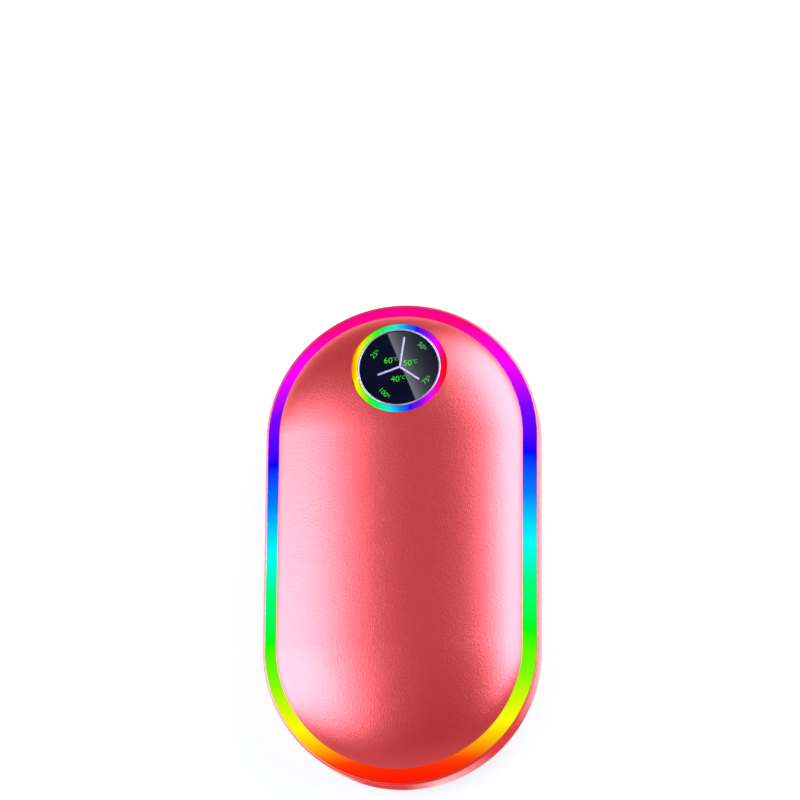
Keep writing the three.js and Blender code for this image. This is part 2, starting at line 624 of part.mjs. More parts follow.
const sensorHole = (x, bottom, top) =>
  block(
    [x - SENSOR_SIZE / 2 - FIT_GAP, -SENSOR_WIDTH / 2 - FIT_GAP, bottom],
    [x + SENSOR_SIZE / 2 + FIT_GAP, SENSOR_WIDTH / 2 + FIT_GAP, top],
  );

const sensor = () => solidOf(new THREE.BoxGeometry(SENSOR_SIZE, SENSOR_WIDTH, SENSOR_THICKNESS));

function rearPad() {
  const pad = stadium(discProfile(FLOOR_RADIUS - REAR_HEATER_INSET, REAR_HEATER_TOP, TRAY_BOTTOM));
  const low = REAR_HEATER_TOP - OVERRUN;
  const high = TRAY_BOTTOM + OVERRUN;
  return cut(pad, sensorHole(SENSOR_OFFSET, low, high), leadHole(low, high));
}

function archLayer(depth, thickness) {
  const top = (x) => underDome(x, depth);
  const bottom = (x) => underDome(x, depth + thickness);
  const shape = archShape(FRONT_HEATER_HALF_WIDTH, top, bottom);
  return barAlongY(shape, -FRONT_HEATER_END, FRONT_HEATER_END);
}

const frontHeater = () => archLayer(FRONT_HEATER_DEPTH, HEATER_THICKNESS);

const FRONT_SENSOR_TOP =
  underDome(SENSOR_OFFSET + SENSOR_SIZE / 2, FRONT_HEATER_DEPTH + HEATER_THICKNESS) - FIT_GAP;

function frontPad() {
  const pad = archLayer(FRONT_PAD_DEPTH, PAD_THICKNESS);
  const halfWidth = LEAD_RADIUS + FIT_GAP;
  const leadNotches = [-1, 1].map((side) =>
    block(
      [side * FRONT_LEAD_OFFSET - halfWidth, LEAD_SLOT_CENTRE - LEAD_LOOP, FRAME_TOP],
      [side * FRONT_LEAD_OFFSET + halfWidth, DISPLAY_Y, BODY_HEIGHT],
    ),
  );
  return cut(pad, sensorHole(SENSOR_OFFSET, FRAME_TOP, BODY_HEIGHT), ...leadNotches);
}

// Battery
function batteryPouch() {
  const half = (POUCH_TOP - POUCH_BOTTOM) / 2;
  const round = Math.min(POUCH_ROUND, half);
  const shape = new THREE.Shape()
    .absarc(POUCH_HALF_WIDTH - round, half - round, round, 0, Math.PI / 2)
    .absarc(round - POUCH_HALF_WIDTH, half - round, round, Math.PI / 2, Math.PI)
    .absarc(round - POUCH_HALF_WIDTH, round - half, round, Math.PI, (3 * Math.PI) / 2)
    .absarc(POUCH_HALF_WIDTH - round, round - half, round, (3 * Math.PI) / 2, 2 * Math.PI);
  const sealHalf = TAB_THICKNESS;
  const sealWidth = TAB_OFFSET + TAB_WIDTH;
  const body = barAlongY(shape, POUCH_FOOT, POUCH_HEAD - TAB_WIDTH / 4).translate([
    0,
    0,
    (POUCH_BOTTOM + POUCH_TOP) / 2,
  ]);
  const seal = slab(
    sealWidth,
    POUCH_HEAD - TAB_WIDTH,
    POUCH_HEAD,
    TAB_HEIGHT - sealHalf,
    TAB_HEIGHT + sealHalf,
  );
  return join(body, seal);
}

const TAB_HEIGHT = (POUCH_BOTTOM + POUCH_TOP) / 2;

const batteryFoam = () =>
  slab(
    POUCH_HALF_WIDTH - FOAM_INSET,
    POUCH_FOOT + FOAM_INSET,
    POUCH_HEAD - FOAM_INSET,
    POUCH_TOP,
    FRAME_BOTTOM,
  );

function guardBoard() {
  const bottom = TRAY_DECK + GUARD_BOARD_LIFT;
  return slab(GUARD_BOARD_WIDTH / 2, GUARD_BOARD_NEAR, GUARD_BOARD_FAR, bottom, bottom + GUARD_BOARD_RISE);
}

const batteryTab = (side) =>
  block(
    [side * TAB_OFFSET - TAB_WIDTH / 2, POUCH_HEAD + FIT_GAP, TAB_HEIGHT - TAB_THICKNESS / 2],
    [side * TAB_OFFSET + TAB_WIDTH / 2, GUARD_BOARD_NEAR - FIT_GAP, TAB_HEIGHT + TAB_THICKNESS / 2],
  );

// Main board: trimmed to the round bay, with a tongue that carries the port
function mainBoard() {
  const bay = rod(TRAY_BORE - FIT_GAP, BOARD_BOTTOM, BOARD_TOP, 0, PULL, RIM_STEPS);
  const blank = slab(BOARD_HALF_WIDTH, BOARD_NEAR, PULL + END_RADIUS, BOARD_BOTTOM, BOARD_TOP);
  const tongue = slab(BOARD_TONGUE_HALF_WIDTH, BOARD_NEAR, BOARD_FAR, BOARD_BOTTOM, BOARD_TOP);
  return join(blank.intersect(bay), tongue);
}

const onBoard = (x, reach, halfWidth, height) =>
  block(
    [x - halfWidth, PULL + reach - halfWidth, BOARD_TOP],
    [x + halfWidth, PULL + reach + halfWidth, BOARD_TOP + height],
  );

function powerInductor() {
  const half = INDUCTOR_SIZE / 2;
  const cap = INDUCTOR_HEIGHT / 4;
  const core = onBoard(-PART_COLUMN_OFFSET, INDUCTOR_REACH, half, INDUCTOR_HEIGHT);
  const waist = turned(
    bandProfile(half - cap, INDUCTOR_SIZE, BOARD_TOP + cap, BOARD_TOP + INDUCTOR_HEIGHT - cap),
    SMALL_STEPS,
  );
  return cut(core, waist.translate([-PART_COLUMN_OFFSET, PULL + INDUCTOR_REACH, 0]));
}

// Charging port
const portPlug = (margin, near, far) =>
  barAlongY(
    slotShape(BEZEL_OUTER_HALF_WIDTH + margin, PORT_HEIGHT / 2 + BEZEL_MARGIN + margin, PORT_CENTRE),
    near,
    far,
  );

const portBore = (margin, near, far) =>
  barAlongY(slotShape(PORT_WIDTH / 2 + margin, PORT_HEIGHT / 2 + margin, PORT_CENTRE), near, far);

function portBezel() {
  const outside = [[0, 0], ...arc(FLOOR_RADIUS, BASE_FILLET, BASE_FILLET, -0.5, 0, FILLET_STEPS)];
  const skin = stadium([...outside, [END_RADIUS, SEAM_HEIGHT], [0, SEAM_HEIGHT]]);
  const plug = portPlug(0, BEZEL_FLANGE_BACK, PORT_MOUTH + PORT_SINK + OVERRUN).intersect(skin);
  const flange = barAlongY(
    slotShape(
      BEZEL_FLANGE_HALF_WIDTH,
      PORT_HEIGHT / 2 + BEZEL_MARGIN + BEZEL_FLANGE,
      PORT_CENTRE,
    ),
    BEZEL_FLANGE_BACK,
    BEZEL_FLANGE_FACE,
  );
  return cut(
    join(plug, flange),
    portBore(FIT_GAP, BEZEL_FLANGE_BACK - OVERRUN, PORT_MOUTH + PORT_SINK + OVERRUN),
  );
}

const portShell = () =>
  cut(portBore(0, PORT_BACK, PORT_MOUTH), portBore(-PORT_WALL, PORT_BACK + PORT_WALL, PORT_MOUTH + OVERRUN));

function portTongue() {
  const back = PORT_BACK + PORT_WALL + GLUE_GAP;
  const half = PORT_TONGUE_THICKNESS / 2;
  const blade = slab(
    PORT_TONGUE_WIDTH / 2,
    back,
    PORT_MOUTH - PORT_TONGUE_SINK,
    PORT_CENTRE - half,
    PORT_CENTRE + half,
  );
  return join(portBore(-PORT_WALL - GLUE_GAP, back, back + PORT_BASE_DEPTH), blade);
}

// Display and button, in the display's own frame
function halo() {
  const bottom = -HALO_DEPTH;
  return turned([
    [HALO_BORE, bottom],
    [HALO_RADIUS, bottom],
    [HALO_RADIUS, -HALO_CHAMFER],
    [HALO_RADIUS - HALO_CHAMFER, 0],
    [HALO_BORE, 0],
    [HALO_BORE, bottom],
  ]);
}

function buttonBezel() {
  const bore = BEZEL_RADIUS - BEZEL_WIDTH;
  const ledgeBore = bore - BEZEL_LEDGE;
  return turned([
    [ledgeBore, BEZEL_BOTTOM],
    [BEZEL_RADIUS, BEZEL_BOTTOM],
    [BEZEL_RADIUS, BEZEL_PROUD - BEZEL_CHAMFER],
    [BEZEL_RADIUS - BEZEL_CHAMFER, BEZEL_PROUD],
    [bore, LENS_SINK],
    [bore, BEZEL_LEDGE_TOP],
    [ledgeBore, BEZEL_LEDGE_TOP],
    [ledgeBore, BEZEL_BOTTOM],
  ]);
}

const displayLens = () => turned(discProfile(LENS_RADIUS, LENS_BOTTOM, -LENS_SINK));

const legendFilm = () => {
  const radius = BEZEL_RADIUS - BEZEL_WIDTH - BEZEL_LEDGE - GLUE_GAP;
  const top = LENS_BOTTOM - SOLDER_GAP;
  return turned(discProfile(radius, top - LEGEND_THICKNESS, top));
};

function dividerBars() {
  const bottom = SOLDER_GAP - LENS_SINK;
  const hub = rod(DIVIDER_WIDTH / 2, bottom, bottom + DIVIDER_THICKNESS);
  const bars = DIVIDER_LENGTHS.map((length, i) =>
    block(
      [0, -DIVIDER_WIDTH / 2, bottom],
      [length, DIVIDER_WIDTH / 2, bottom + DIVIDER_THICKNESS],
    ).rotate([0, 0, DIVIDER_ANGLES[i]]),
  );
  return join(hub, ...bars);
}

const around = (count, place) => Array.from({ length: count }, (_, i) => place((360 * i) / count));

function barb(margin) {
  const halfWidth = BARB_WIDTH / 2 + margin;
  const reach = margin > 0 ? HALO_RADIUS + OVERRUN : HALO_BORE + BARB_REACH;
  const bottom = BARB_BOTTOM - margin - (margin > 0 ? BUTTON_TRAVEL : 0);
  return (turn) =>
    block(
      [CARRIER_RADIUS - CARRIER_WALL / 2, -halfWidth, bottom],
      [reach, halfWidth, BARB_TOP + margin],
    ).rotate([0, 0, turn + 90]);
}

function buttonCarrier() {
  const cup = cut(
    turned(discProfile(CARRIER_RADIUS, CARRIER_BOTTOM, CARRIER_TOP)),
    turned(discProfile(CARRIER_RADIUS - CARRIER_WALL, CARRIER_BOTTOM - OVERRUN, CARRIER_UNDERSIDE)),
  );
  const post = rod(CARRIER_POST_RADIUS, STEM_TOP + SOLDER_GAP, CARRIER_TOP);
  const wells = around(WELL_COUNT, (turn) =>
    rod(WELL_RADIUS, CARRIER_UNDERSIDE - OVERRUN, CARRIER_TOP + OVERRUN, WELL_CIRCLE).rotate([0, 0, turn]),
  );
  return join(cut(cup, ...wells), post, ...around(BARB_COUNT, barb(0)));
}

function displayBoard() {
  const disc = turned(discProfile(HALO_BORE - FIT_GAP, DISPLAY_BOARD_BOTTOM, DISPLAY_BOARD_TOP));
  const lampHalf = LED_WIDTH / 2;
  const lamps = around(WELL_COUNT, (turn) =>
    block(
      [WELL_CIRCLE - lampHalf, -lampHalf, DISPLAY_BOARD_BOTTOM],
      [WELL_CIRCLE + lampHalf, lampHalf, DISPLAY_BOARD_TOP + LED_DEPTH / 2],
    ).rotate([0, 0, turn]),
  );
  return join(disc, ...lamps);
}

function switchBody() {
  const half = SWITCH_SIZE / 2;
  const body = block([-half, -half, SWITCH_BOTTOM], [half, half, SWITCH_TOP]);
  return cut(body, rod(STEM_RADIUS + FIT_GAP, SWITCH_BOTTOM + SWITCH_FLOOR, SWITCH_TOP + OVERRUN));
}

const switchStem = () => rod(STEM_RADIUS, STEM_BOTTOM, STEM_TOP);

// Cup that guides the button; its two ears lie level on the front frame
function buttonGuide() {
  const place = displayFrame.elements;
  const cup = turned(discProfile(HALO_RADIUS, GUIDE_BOTTOM, GUIDE_TOP)).transform(place);
  const ears = [-1, 1].map((side) => {
    const [inner, outer] = [side * CARRIER_RADIUS, side * EAR_REACH].sort((a, b) => a - b);
    const half = EAR_LENGTH / 2;
    return block([inner, DISPLAY_Y - half, EAR_BOTTOM], [outer, DISPLAY_Y + half, EAR_TOP]);
  });
  const bores = EAR_SCREWS.map(([x, y]) => rod(SCREW_BORE, EAR_BOTTOM - OVERRUN, EAR_TOP + OVERRUN, x, y));
  const room = turned(discProfile(HALO_BORE, GUIDE_LEDGE_TOP, GUIDE_TOP + OVERRUN)).transform(place);
  const outlet = turned(
    discProfile(HALO_BORE - GUIDE_LEDGE, GUIDE_BOTTOM - OVERRUN, GUIDE_TOP),
  ).transform(place);
  const windows = around(BARB_COUNT, barb(FIT_GAP)).map((solid) => solid.transform(place));
  return cut(join(cup, ...ears), ...bores, room, outlet, ...windows);
}

// Flat cable from the display board down to the main board, drawn in Y and Z
function displayRibbon() {
  const start = new THREE.Vector3(0, 0, DISPLAY_BOARD_BOTTOM - FIT_GAP).applyMatrix4(displayFrame);
  const endHeight = BOARD_TOP + FIT_GAP + RIBBON_THICKNESS / 2;
  const drop = start.z - endHeight;
  const lay = drop / 2;
  const route = new THREE.CubicBezierCurve(
    new THREE.Vector2(start.y, start.z),
    new THREE.Vector2(start.y - lay * Math.sin(DISPLAY_TILT), start.z - lay),
    new THREE.Vector2(start.y, endHeight),
    new THREE.Vector2(start.y + RIBBON_LANDING, endHeight),
  );
  const side = (offset) =>
    Array.from({ length: ARCH_STEPS + 1 }, (_, i) => {
      const point = route.getPoint(i / ARCH_STEPS);
      const heading = route.getTangent(i / ARCH_STEPS);
      return new THREE.Vector2(point.x - heading.y * offset, point.y + heading.x * offset);
    });
  const half = RIBBON_THICKNESS / 2;
  const shape = new THREE.Shape([...side(-half), ...side(half).reverse()]);
  const strip = new THREE.ExtrudeGeometry(shape, { depth: RIBBON_WIDTH, bevelEnabled: false });
  const upright = new THREE.Matrix4().makeBasis(
    new THREE.Vector3(0, 1, 0),
    new THREE.Vector3(0, 0, 1),
    new THREE.Vector3(1, 0, 0),
  );
  return solidOf(strip.applyMatrix4(upright).translate(-RIBBON_WIDTH / 2, 0, 0));
}

// Wires
function batteryLead(side) {
  const x = side * TAB_OFFSET;
  const landing = BOARD_TOP + FIT_GAP;
  const peak = TRAY_DECK + BULKHEAD_RISE + FIT_GAP + WIRE_RADIUS * 2;
  return wire(
    [
      [x, GUARD_BOARD_FAR + FIT_GAP, peak],
      [x, BULKHEAD_FAR, peak + WIRE_RADIUS],
      [x, BOARD_NEAR - WIRE_RADIUS, peak + WIRE_RADIUS],
      [x, BOARD_NEAR + LEAD_LOOP, (peak + landing) / 2],
      [x, BOARD_NEAR + LEAD_LOOP, landing],
    ],
    WIRE_RADIUS,
  );
}

function rearHeaterLead(side) {
  const x = side * REAR_LEAD_OFFSET;
  const landing = BOARD_TOP + FIT_GAP;
  const peak = landing + LEAD_LOOP;
  return wire(
    [
      [x, LEAD_SLOT_CENTRE, REAR_HEATER_TOP + FIT_GAP],
      [x, LEAD_SLOT_CENTRE, BOARD_BOTTOM],
      [x, LEAD_SLOT_CENTRE + LEAD_RADIUS, peak],
      [x, BOARD_NEAR + LEAD_LOOP, peak],
      [x, BOARD_NEAR + LEAD_LOOP + LEAD_RADIUS, landing],
    ],
    LEAD_RADIUS,
  );
}

function frontHeaterLead(side) {
  const x = side * FRONT_LEAD_OFFSET;
  const top = underDome(FRONT_LEAD_OFFSET, FRONT_HEATER_DEPTH + HEATER_THICKNESS) - LEAD_RADIUS;
  const landing = BOARD_TOP + FIT_GAP;
  return wire(
    [
      [x, FRONT_HEATER_END + FIT_GAP, top],
      [x, LEAD_SLOT_CENTRE - LEAD_LOOP / 2, top - LEAD_RADIUS],
      [x, LEAD_SLOT_CENTRE, top - LEAD_LOOP],
      [x, LEAD_SLOT_CENTRE, FRAME_BOTTOM],
      [x, LEAD_SLOT_CENTRE, (FRAME_BOTTOM + landing) / 2],
      [x, BOARD_NEAR + LEAD_RADIUS, landing + LEAD_LOOP],
      [x, BOARD_NEAR + LEAD_LOOP, landing],
    ],
    LEAD_RADIUS,
  );
}

// Assembly
const handWarmer = new THREE.Group();
const displayGroup = new THREE.Group();
displayGroup.position.set(0, DISPLAY_Y, DISPLAY_Z);
displayGroup.rotation.x = -DISPLAY_TILT;
handWarmer.add(displayGroup);

function add(name, solid, material, parent = handWarmer) {
  const mesh = new THREE.Mesh(geometryOf(solid), material);
  mesh.name = name;
  parent.add(mesh);
  return mesh;
}

add('rear_shell', rearShell(), CORAL_ANODISED);
add('front_shell', frontShell(), CORAL_ANODISED);
add('light_ring', lightRing(), FROSTED_GLOW);
add('ring_light_strip', ringLightStrip(), WHITE_ABS);
add('battery_tray', batteryTray(), WHITE_ABS);
add('front_frame', frontFrame(), WHITE_ABS);
FRAME_SCREWS.forEach(([x, y], i) => {
  add(`frame_screw_${i + 1}`, screw(), STEEL).position.set(x, y, FRAME_TOP);
});

add('rear_heater', rearHeater(), POLYIMIDE);
add('rear_insulation', rearPad(), GREY_FOAM);
add('rear_sensor', sensor(), CHIP_BLACK).position.set(
  SENSOR_OFFSET,
  0,
  REAR_HEATER_TOP + SENSOR_THICKNESS / 2,
);
add('front_heater', frontHeater(), POLYIMIDE);
add('front_insulation', frontPad(), GREY_FOAM);
add('front_sensor', sensor(), CHIP_BLACK).position.set(
  SENSOR_OFFSET,
  0,
  FRONT_SENSOR_TOP - SENSOR_THICKNESS / 2,
);

add('battery_pouch', batteryPouch(), POUCH_FOIL);
add('battery_foam', batteryFoam(), GREY_FOAM);
add('protection_board', guardBoard(), GREEN_BOARD);
add('battery_tab_positive', batteryTab(-1), NICKEL);
add('battery_tab_negative', batteryTab(1), NICKEL);

add('main_board', mainBoard(), GREEN_BOARD);
add('power_inductor', powerInductor(), FERRITE);
add(
  'charger_chip',
  onBoard(PART_COLUMN_OFFSET, CHARGER_REACH, CHARGER_SIZE / 2, CHIP_HEIGHT),
  CHIP_BLACK,
);
add(
  'controller_chip',
  onBoard(PART_COLUMN_OFFSET, CONTROLLER_REACH, CONTROLLER_SIZE / 2, CHIP_HEIGHT),
  CHIP_BLACK,
);
add(
  'bulk_capacitor',
  rod(
    CAPACITOR_RADIUS,
    BOARD_TOP,
    BOARD_TOP + CAPACITOR_HEIGHT,
    CAPACITOR_INSET - PART_COLUMN_OFFSET,
    PULL + CAPACITOR_REACH,
  ),
  STEEL,
);
add('port_bezel', portBezel(), BLACK_ABS);
add('port_shell', portShell(), NICKEL);
add('port_tongue', portTongue(), BLACK_ABS);

add('button_guide', buttonGuide(), BLACK_ABS);
EAR_SCREWS.forEach(([x, y], i) => {
  add(`guide_screw_${i + 1}`, screw(), STEEL).position.set(x, y, EAR_TOP);
});
add('display_halo', halo(), FROSTED_GLOW, displayGroup);
add('button_bezel', buttonBezel(), SATIN_SILVER, displayGroup);
add('display_lens', displayLens(), BLACK_LENS, displayGroup);
add('divider_bars', dividerBars(), SATIN_SILVER, displayGroup);
add('legend_film', legendFilm(), SMOKE_FILM, displayGroup);
add('button_carrier', buttonCarrier(), WHITE_ABS, displayGroup);
add('display_board', displayBoard(), GREEN_BOARD, displayGroup);
add('switch_body', switchBody(), BLACK_ABS, displayGroup);
add('switch_stem', switchStem(), BLACK_ABS, displayGroup);
add('display_ribbon', displayRibbon(), WHITE_WIRE);

add('battery_lead_positive', batteryLead(-1), RED_WIRE);
add('battery_lead_negative', batteryLead(1), BLACK_WIRE);
[-1, 1].forEach((side, i) => {
  add(`rear_heater_lead_${i + 1}`, rearHeaterLead(side), WHITE_WIRE);
  add(`front_heater_lead_${i + 1}`, frontHeaterLead(side), WHITE_WIRE);
});

export default handWarmer;
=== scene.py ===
"""Looks of a palm-size rechargeable hand warmer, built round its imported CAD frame.

Sizes are in millimetres until a mesh is made from them; the scene is in metres.
"""

import json
import logging
import math
from collections.abc import Callable
from dataclasses import dataclass, field
from enum import Enum

import bpy
from bpy.types import Material, Node, NodeSocket, NodeTree, Object
from mathutils import Matrix, Vector

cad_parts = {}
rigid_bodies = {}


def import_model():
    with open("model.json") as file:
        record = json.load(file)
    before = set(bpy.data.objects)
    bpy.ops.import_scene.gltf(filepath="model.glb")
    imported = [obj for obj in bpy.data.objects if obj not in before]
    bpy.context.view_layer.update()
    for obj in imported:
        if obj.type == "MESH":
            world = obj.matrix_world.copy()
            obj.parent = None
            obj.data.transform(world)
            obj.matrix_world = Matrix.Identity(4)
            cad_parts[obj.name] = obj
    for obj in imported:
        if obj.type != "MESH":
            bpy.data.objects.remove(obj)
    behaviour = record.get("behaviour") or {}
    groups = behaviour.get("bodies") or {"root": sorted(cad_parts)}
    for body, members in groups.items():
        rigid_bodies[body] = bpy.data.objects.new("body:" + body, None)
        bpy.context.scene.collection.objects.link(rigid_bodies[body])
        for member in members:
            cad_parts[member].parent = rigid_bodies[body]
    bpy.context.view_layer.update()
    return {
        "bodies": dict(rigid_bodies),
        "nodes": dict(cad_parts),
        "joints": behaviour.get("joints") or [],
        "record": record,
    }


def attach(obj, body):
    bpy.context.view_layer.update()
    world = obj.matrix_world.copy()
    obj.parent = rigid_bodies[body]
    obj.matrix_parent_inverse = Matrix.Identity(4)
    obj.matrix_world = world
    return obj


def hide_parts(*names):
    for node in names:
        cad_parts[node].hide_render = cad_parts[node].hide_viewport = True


LOG = logging.getLogger("hand_warmer")
MM = 0.001
WELD = 0.002
LETTER_WELD = 0.0005
CREASE_DEGREES = 32

Ring = tuple[float, float]
Span = tuple[float, float]
Colour = tuple[float, float, float, float]
Inputs = dict[str | int, object]


# Nodes


def linear(hex_colour: str) -> Colour:
    """Turns an sRGB hex colour into the linear colour that a shader takes.

    Args:
        hex_colour: the colour as #rrggbb.

    Returns:
        Red, green, blue and an alpha of one.
    """
    channels = [int(hex_colour[i : i + 2], 16) / 255 for i in (1, 3, 5)]
    red, green, blue = [
        c / 12.92 if c <= 0.04045 else ((c + 0.055) / 1.055) ** 2.4 for c in channels
    ]
    return (red, green, blue, 1.0)


def fill(tree: NodeTree, node: Node, inputs: Inputs) -> None:
    """Sets a node's inputs, or links other nodes' outputs to them.

    Args:
        tree: the node tree.
        node: the node whose inputs are set.
        inputs: each input's value, or the output to link.
    """
    for key, value in inputs.items():
        if isinstance(value, NodeSocket):
            tree.links.new(value, node.inputs[key])
        else:
            node.inputs[key].default_value = value


def add_node(tree: NodeTree, kind: str, inputs: Inputs | None = None, **settings: str) -> Node:
    """Adds a node with its settings, its values and its links.

    Args:
        tree: the node tree.
        kind: the node's type.
        inputs: each input's value, or the output to link.
        settings: its own properties.

    Returns:
        The new node.
    """
    node = tree.nodes.new(kind)
    for name, value in settings.items():
        setattr(node, name, value)
    fill(tree, node, inputs or {})
    return node


def reckon(tree: NodeTree, operation: str, *values: float | NodeSocket) -> NodeSocket:
    """Returns the result of a sum, such as ADD, of numbers or other outputs."""
    inputs = dict(enumerate(values))
    return add_node(tree, "ShaderNodeMath", inputs, operation=operation).outputs[0]


def carry(
    tree: NodeTree, value: NodeSocket, new: Span = (0, 1), old: Span = (0, 1)
) -> NodeSocket:
    """Returns a value carried over from an old span to a new one, and held within it."""
    ends = {"From Min": old[0], "From Max": old[1], "To Min": new[0], "To Max": new[1]}
    return add_node(tree, "ShaderNodeMapRange", {"Value": value, **ends}).outputs["Result"]


def blend(tree: NodeTree, amount: NodeSocket, first: str | NodeSocket, second: str) -> NodeSocket:
    """Mixes two colours.

    Args:
        tree: the node tree.
        amount: how much of the second colour is in the mix.
        first: the first colour, a hex colour or an output.
        second: the second colour, a hex colour.

    Returns:
        The mixed colour.
    """
    start = linear(first) if isinstance(first, str) else first
    inputs = {"Factor": amount, 6: start, 7: linear(second)}
    return add_node(tree, "ShaderNodeMix", inputs, data_type="RGBA").outputs[2]


def along(tree: NodeTree, axis: str) -> NodeSocket:
    """Returns how far a place lies along an axis of its own object."""
    place = add_node(tree, "ShaderNodeTexCoord").outputs["Object"]
    return add_node(tree, "ShaderNodeSeparateXYZ", {0: place}).outputs[axis]


def new_material(name: str) -> tuple[Material, NodeTree, Node]:
    """Makes a material.

    Args:
        name: its name.

    Returns:
        The material, its node tree and its shader.
    """
    material = bpy.data.materials.new(name)
    material.use_nodes = True
    return material, material.node_tree, material.node_tree.nodes["Principled BSDF"]


# Finishes


class Pattern(Enum):
    """What makes a finish vary: a texture node and the output that is read."""

    GRAIN = ("ShaderNodeTexNoise", "Fac")
    CELLS = ("ShaderNodeTexVoronoi", "Distance")
    LINES = ("ShaderNodeTexWave", "Fac")

    def amount(self, tree: NodeTree, scales: tuple[float, ...]) -> NodeSocket:
        """Adds the pattern, fixed to the object.

        Args:
            tree: the node tree.
            scales: how often it repeats per metre along each axis.

        Returns:
            The pattern's output.
        """
        kind, output = self.value
        place = add_node(tree, "ShaderNodeTexCoord").outputs["Object"]
        sized = add_node(tree, "ShaderNodeMapping", {"Vector": place, "Scale": scales})
        inputs = {"Vector": sized.outputs["Vector"], "Scale": 1.0}
        return add_node(tree, kind, inputs).outputs[output]


@dataclass(frozen=True)
class Finish:
    """A surface whose tone, gloss and relief follow one pattern of a real size."""

    name: str
    tones: tuple[str, str]
    roughness: Span
    pitch: float
    relief: float
    pattern: Pattern = Pattern.GRAIN
    stretch: tuple[float, float, float] = (1, 1, 1)
    spread: Span = (0.3, 0.7)
    metallic: float = 0.0
    ior: float = 1.5
    coat: float = 0.0
    coat_roughness: float = 0.03
    coat_ior: float = 1.5

    def make(self) -> Material:
        """Makes the material, with the pattern behind its tone, gloss and relief.

        Returns:
            The new material.
        """
        material, tree, shader = new_material(self.name)
        scales = tuple(share / (self.pitch * MM) for share in self.stretch)
        amount = carry(tree, self.pattern.amount(tree, scales), old=self.spread)
        relief = {"Height": amount, "Distance": self.relief * MM, "Strength": 1.0}
        bump = add_node(tree, "ShaderNodeBump", relief).outputs["Normal"]
        tone, gloss = blend(tree, amount, *self.tones), carry(tree, amount, self.roughness)
        fill(tree, shader, {"Base Color": tone, "Roughness": gloss, "Normal": bump})
        fill(tree, shader, {"Metallic": self.metallic, "IOR": self.ior})
        if self.coat:
            coat = {"Weight": self.coat, "Roughness": self.coat_roughness, "IOR": self.coat_ior}
            coat["Normal"] = bump
            fill(tree, shader, {f"Coat {name}": value for name, value in coat.items()})
        return material


@dataclass(frozen=True)
class GlowFinish:
    """A lit diffuser whose colour runs through stops along one straight way."""

    name: str
    stops: tuple[tuple[float, str], ...]
    half_length: float
    turn_degrees: float
    middle: float = 0.0
    body_tone: str = "#020202"
    roughness: Span = (0.45, 0.6)
    lamp_pitch: float = 10.0
    lamp_dip: float = 0.04

    def make(self) -> Material:
        """Makes the material, which glows a little less between its lamps.

        Returns:
            The new material.
        """
        material, tree, shader = new_material(self.name)
        scale = 0.5 / (self.half_length * MM)
        turn = math.radians(self.turn_degrees)
        start = 0.5 + math.sin(turn) * scale * self.middle * MM
        place = add_node(tree, "ShaderNodeTexCoord").outputs["Object"]
        fit = {"Location": (start, 0, 0), "Rotation": (0, 0, turn), "Scale": (scale,) * 3}
        laid = add_node(tree, "ShaderNodeMapping", {"Vector": place, **fit}).outputs["Vector"]
        way = add_node(tree, "ShaderNodeSeparateXYZ", {0: laid}).outputs["X"]
        ramp = add_node(tree, "ShaderNodeValToRGB", {"Fac": way})
        elements = ramp.color_ramp.elements
        while len(elements) < len(self.stops):
            elements.new(0.5)
        for element, (position, colour) in zip(elements, self.stops, strict=True):
            element.position = position
            element.color = linear(colour)
        lamps = Pattern.GRAIN.amount(tree, (1 / (self.lamp_pitch * MM),) * 3)
        inputs = {
            "Base Color": linear(self.body_tone),
            "Specular IOR Level": 0.0,
            "Emission Color": ramp.outputs["Color"],
            "Emission Strength": carry(tree, lamps, (1 - self.lamp_dip, 1)),
            "Roughness": carry(tree, lamps, self.roughness),
        }
        fill(tree, shader, inputs)
        return material


# Aluminium, blasted with fine glass beads and anodised coral red under a clear
# satin seal: a soft metal glow with a pale sheen where a lamp is mirrored. The
# grain of the blasting is under 0.1 mm and is drawn at 0.3 mm to show.
CORAL_ANODISED_ALUMINIUM = Finish(
    "coral_anodised_aluminium", ("#E82A2D", "#EF3235"), roughness=(0.28, 0.30),
    pitch=0.3, relief=0.018, metallic=1.0, coat=1.0, coat_roughness=0.30, coat_ior=1.62,
)
# Frosted polycarbonate, moulded: the lamps behind it melt into one even band.
FROSTED_RING_LIGHT = GlowFinish(
    "frosted_polycarbonate_lit_ring",
    stops=(
        (0.004, "#FF1800"), (0.030, "#FF2C00"), (0.044, "#FF4200"), (0.060, "#FF8000"),
        (0.117, "#FFFF00"), (0.212, "#80FF00"), (0.300, "#00FF00"), (0.403, "#00FF80"),
        (0.486, "#00FFFF"), (0.586, "#0080FF"), (0.671, "#0000FF"), (0.774, "#8000FF"),
        (0.867, "#FF00FF"), (0.955, "#FF0080"), (0.990, "#FA008C"),
    ),
    half_length=52.5, turn_degrees=-92.0, lamp_pitch=9.0,
)
# The same plastic as a flat collar, lit from red on the right to amber on the left.
FROSTED_HALO_LIGHT = GlowFinish(
    "frosted_polycarbonate_lit_halo",
    stops=(
        (0.000, "#FF9000"), (0.030, "#FFBE00"), (0.065, "#FFF600"), (0.130, "#B4FF00"),
        (0.220, "#30FF10"), (0.300, "#00FF60"), (0.390, "#00FFC0"), (0.450, "#00E6FF"),
        (0.550, "#0088FF"), (0.650, "#1810FF"), (0.760, "#8C00FF"), (0.860, "#FF00FF"),
        (0.930, "#FF00A0"), (0.965, "#FF0020"), (1.000, "#FF0000"),
    ),
    half_length=10.4, turn_degrees=3.0, middle=37.3, lamp_pitch=4.0,
)
# Green light through the clear characters of the printed film.
LEGEND_GREEN = GlowFinish(
    "legend_green_light", stops=((0.0, "#46FF00"), (1.0, "#50FF0A")),
    half_length=10.0, turn_degrees=0.0, body_tone="#0A1E05", lamp_pitch=2.0,
)
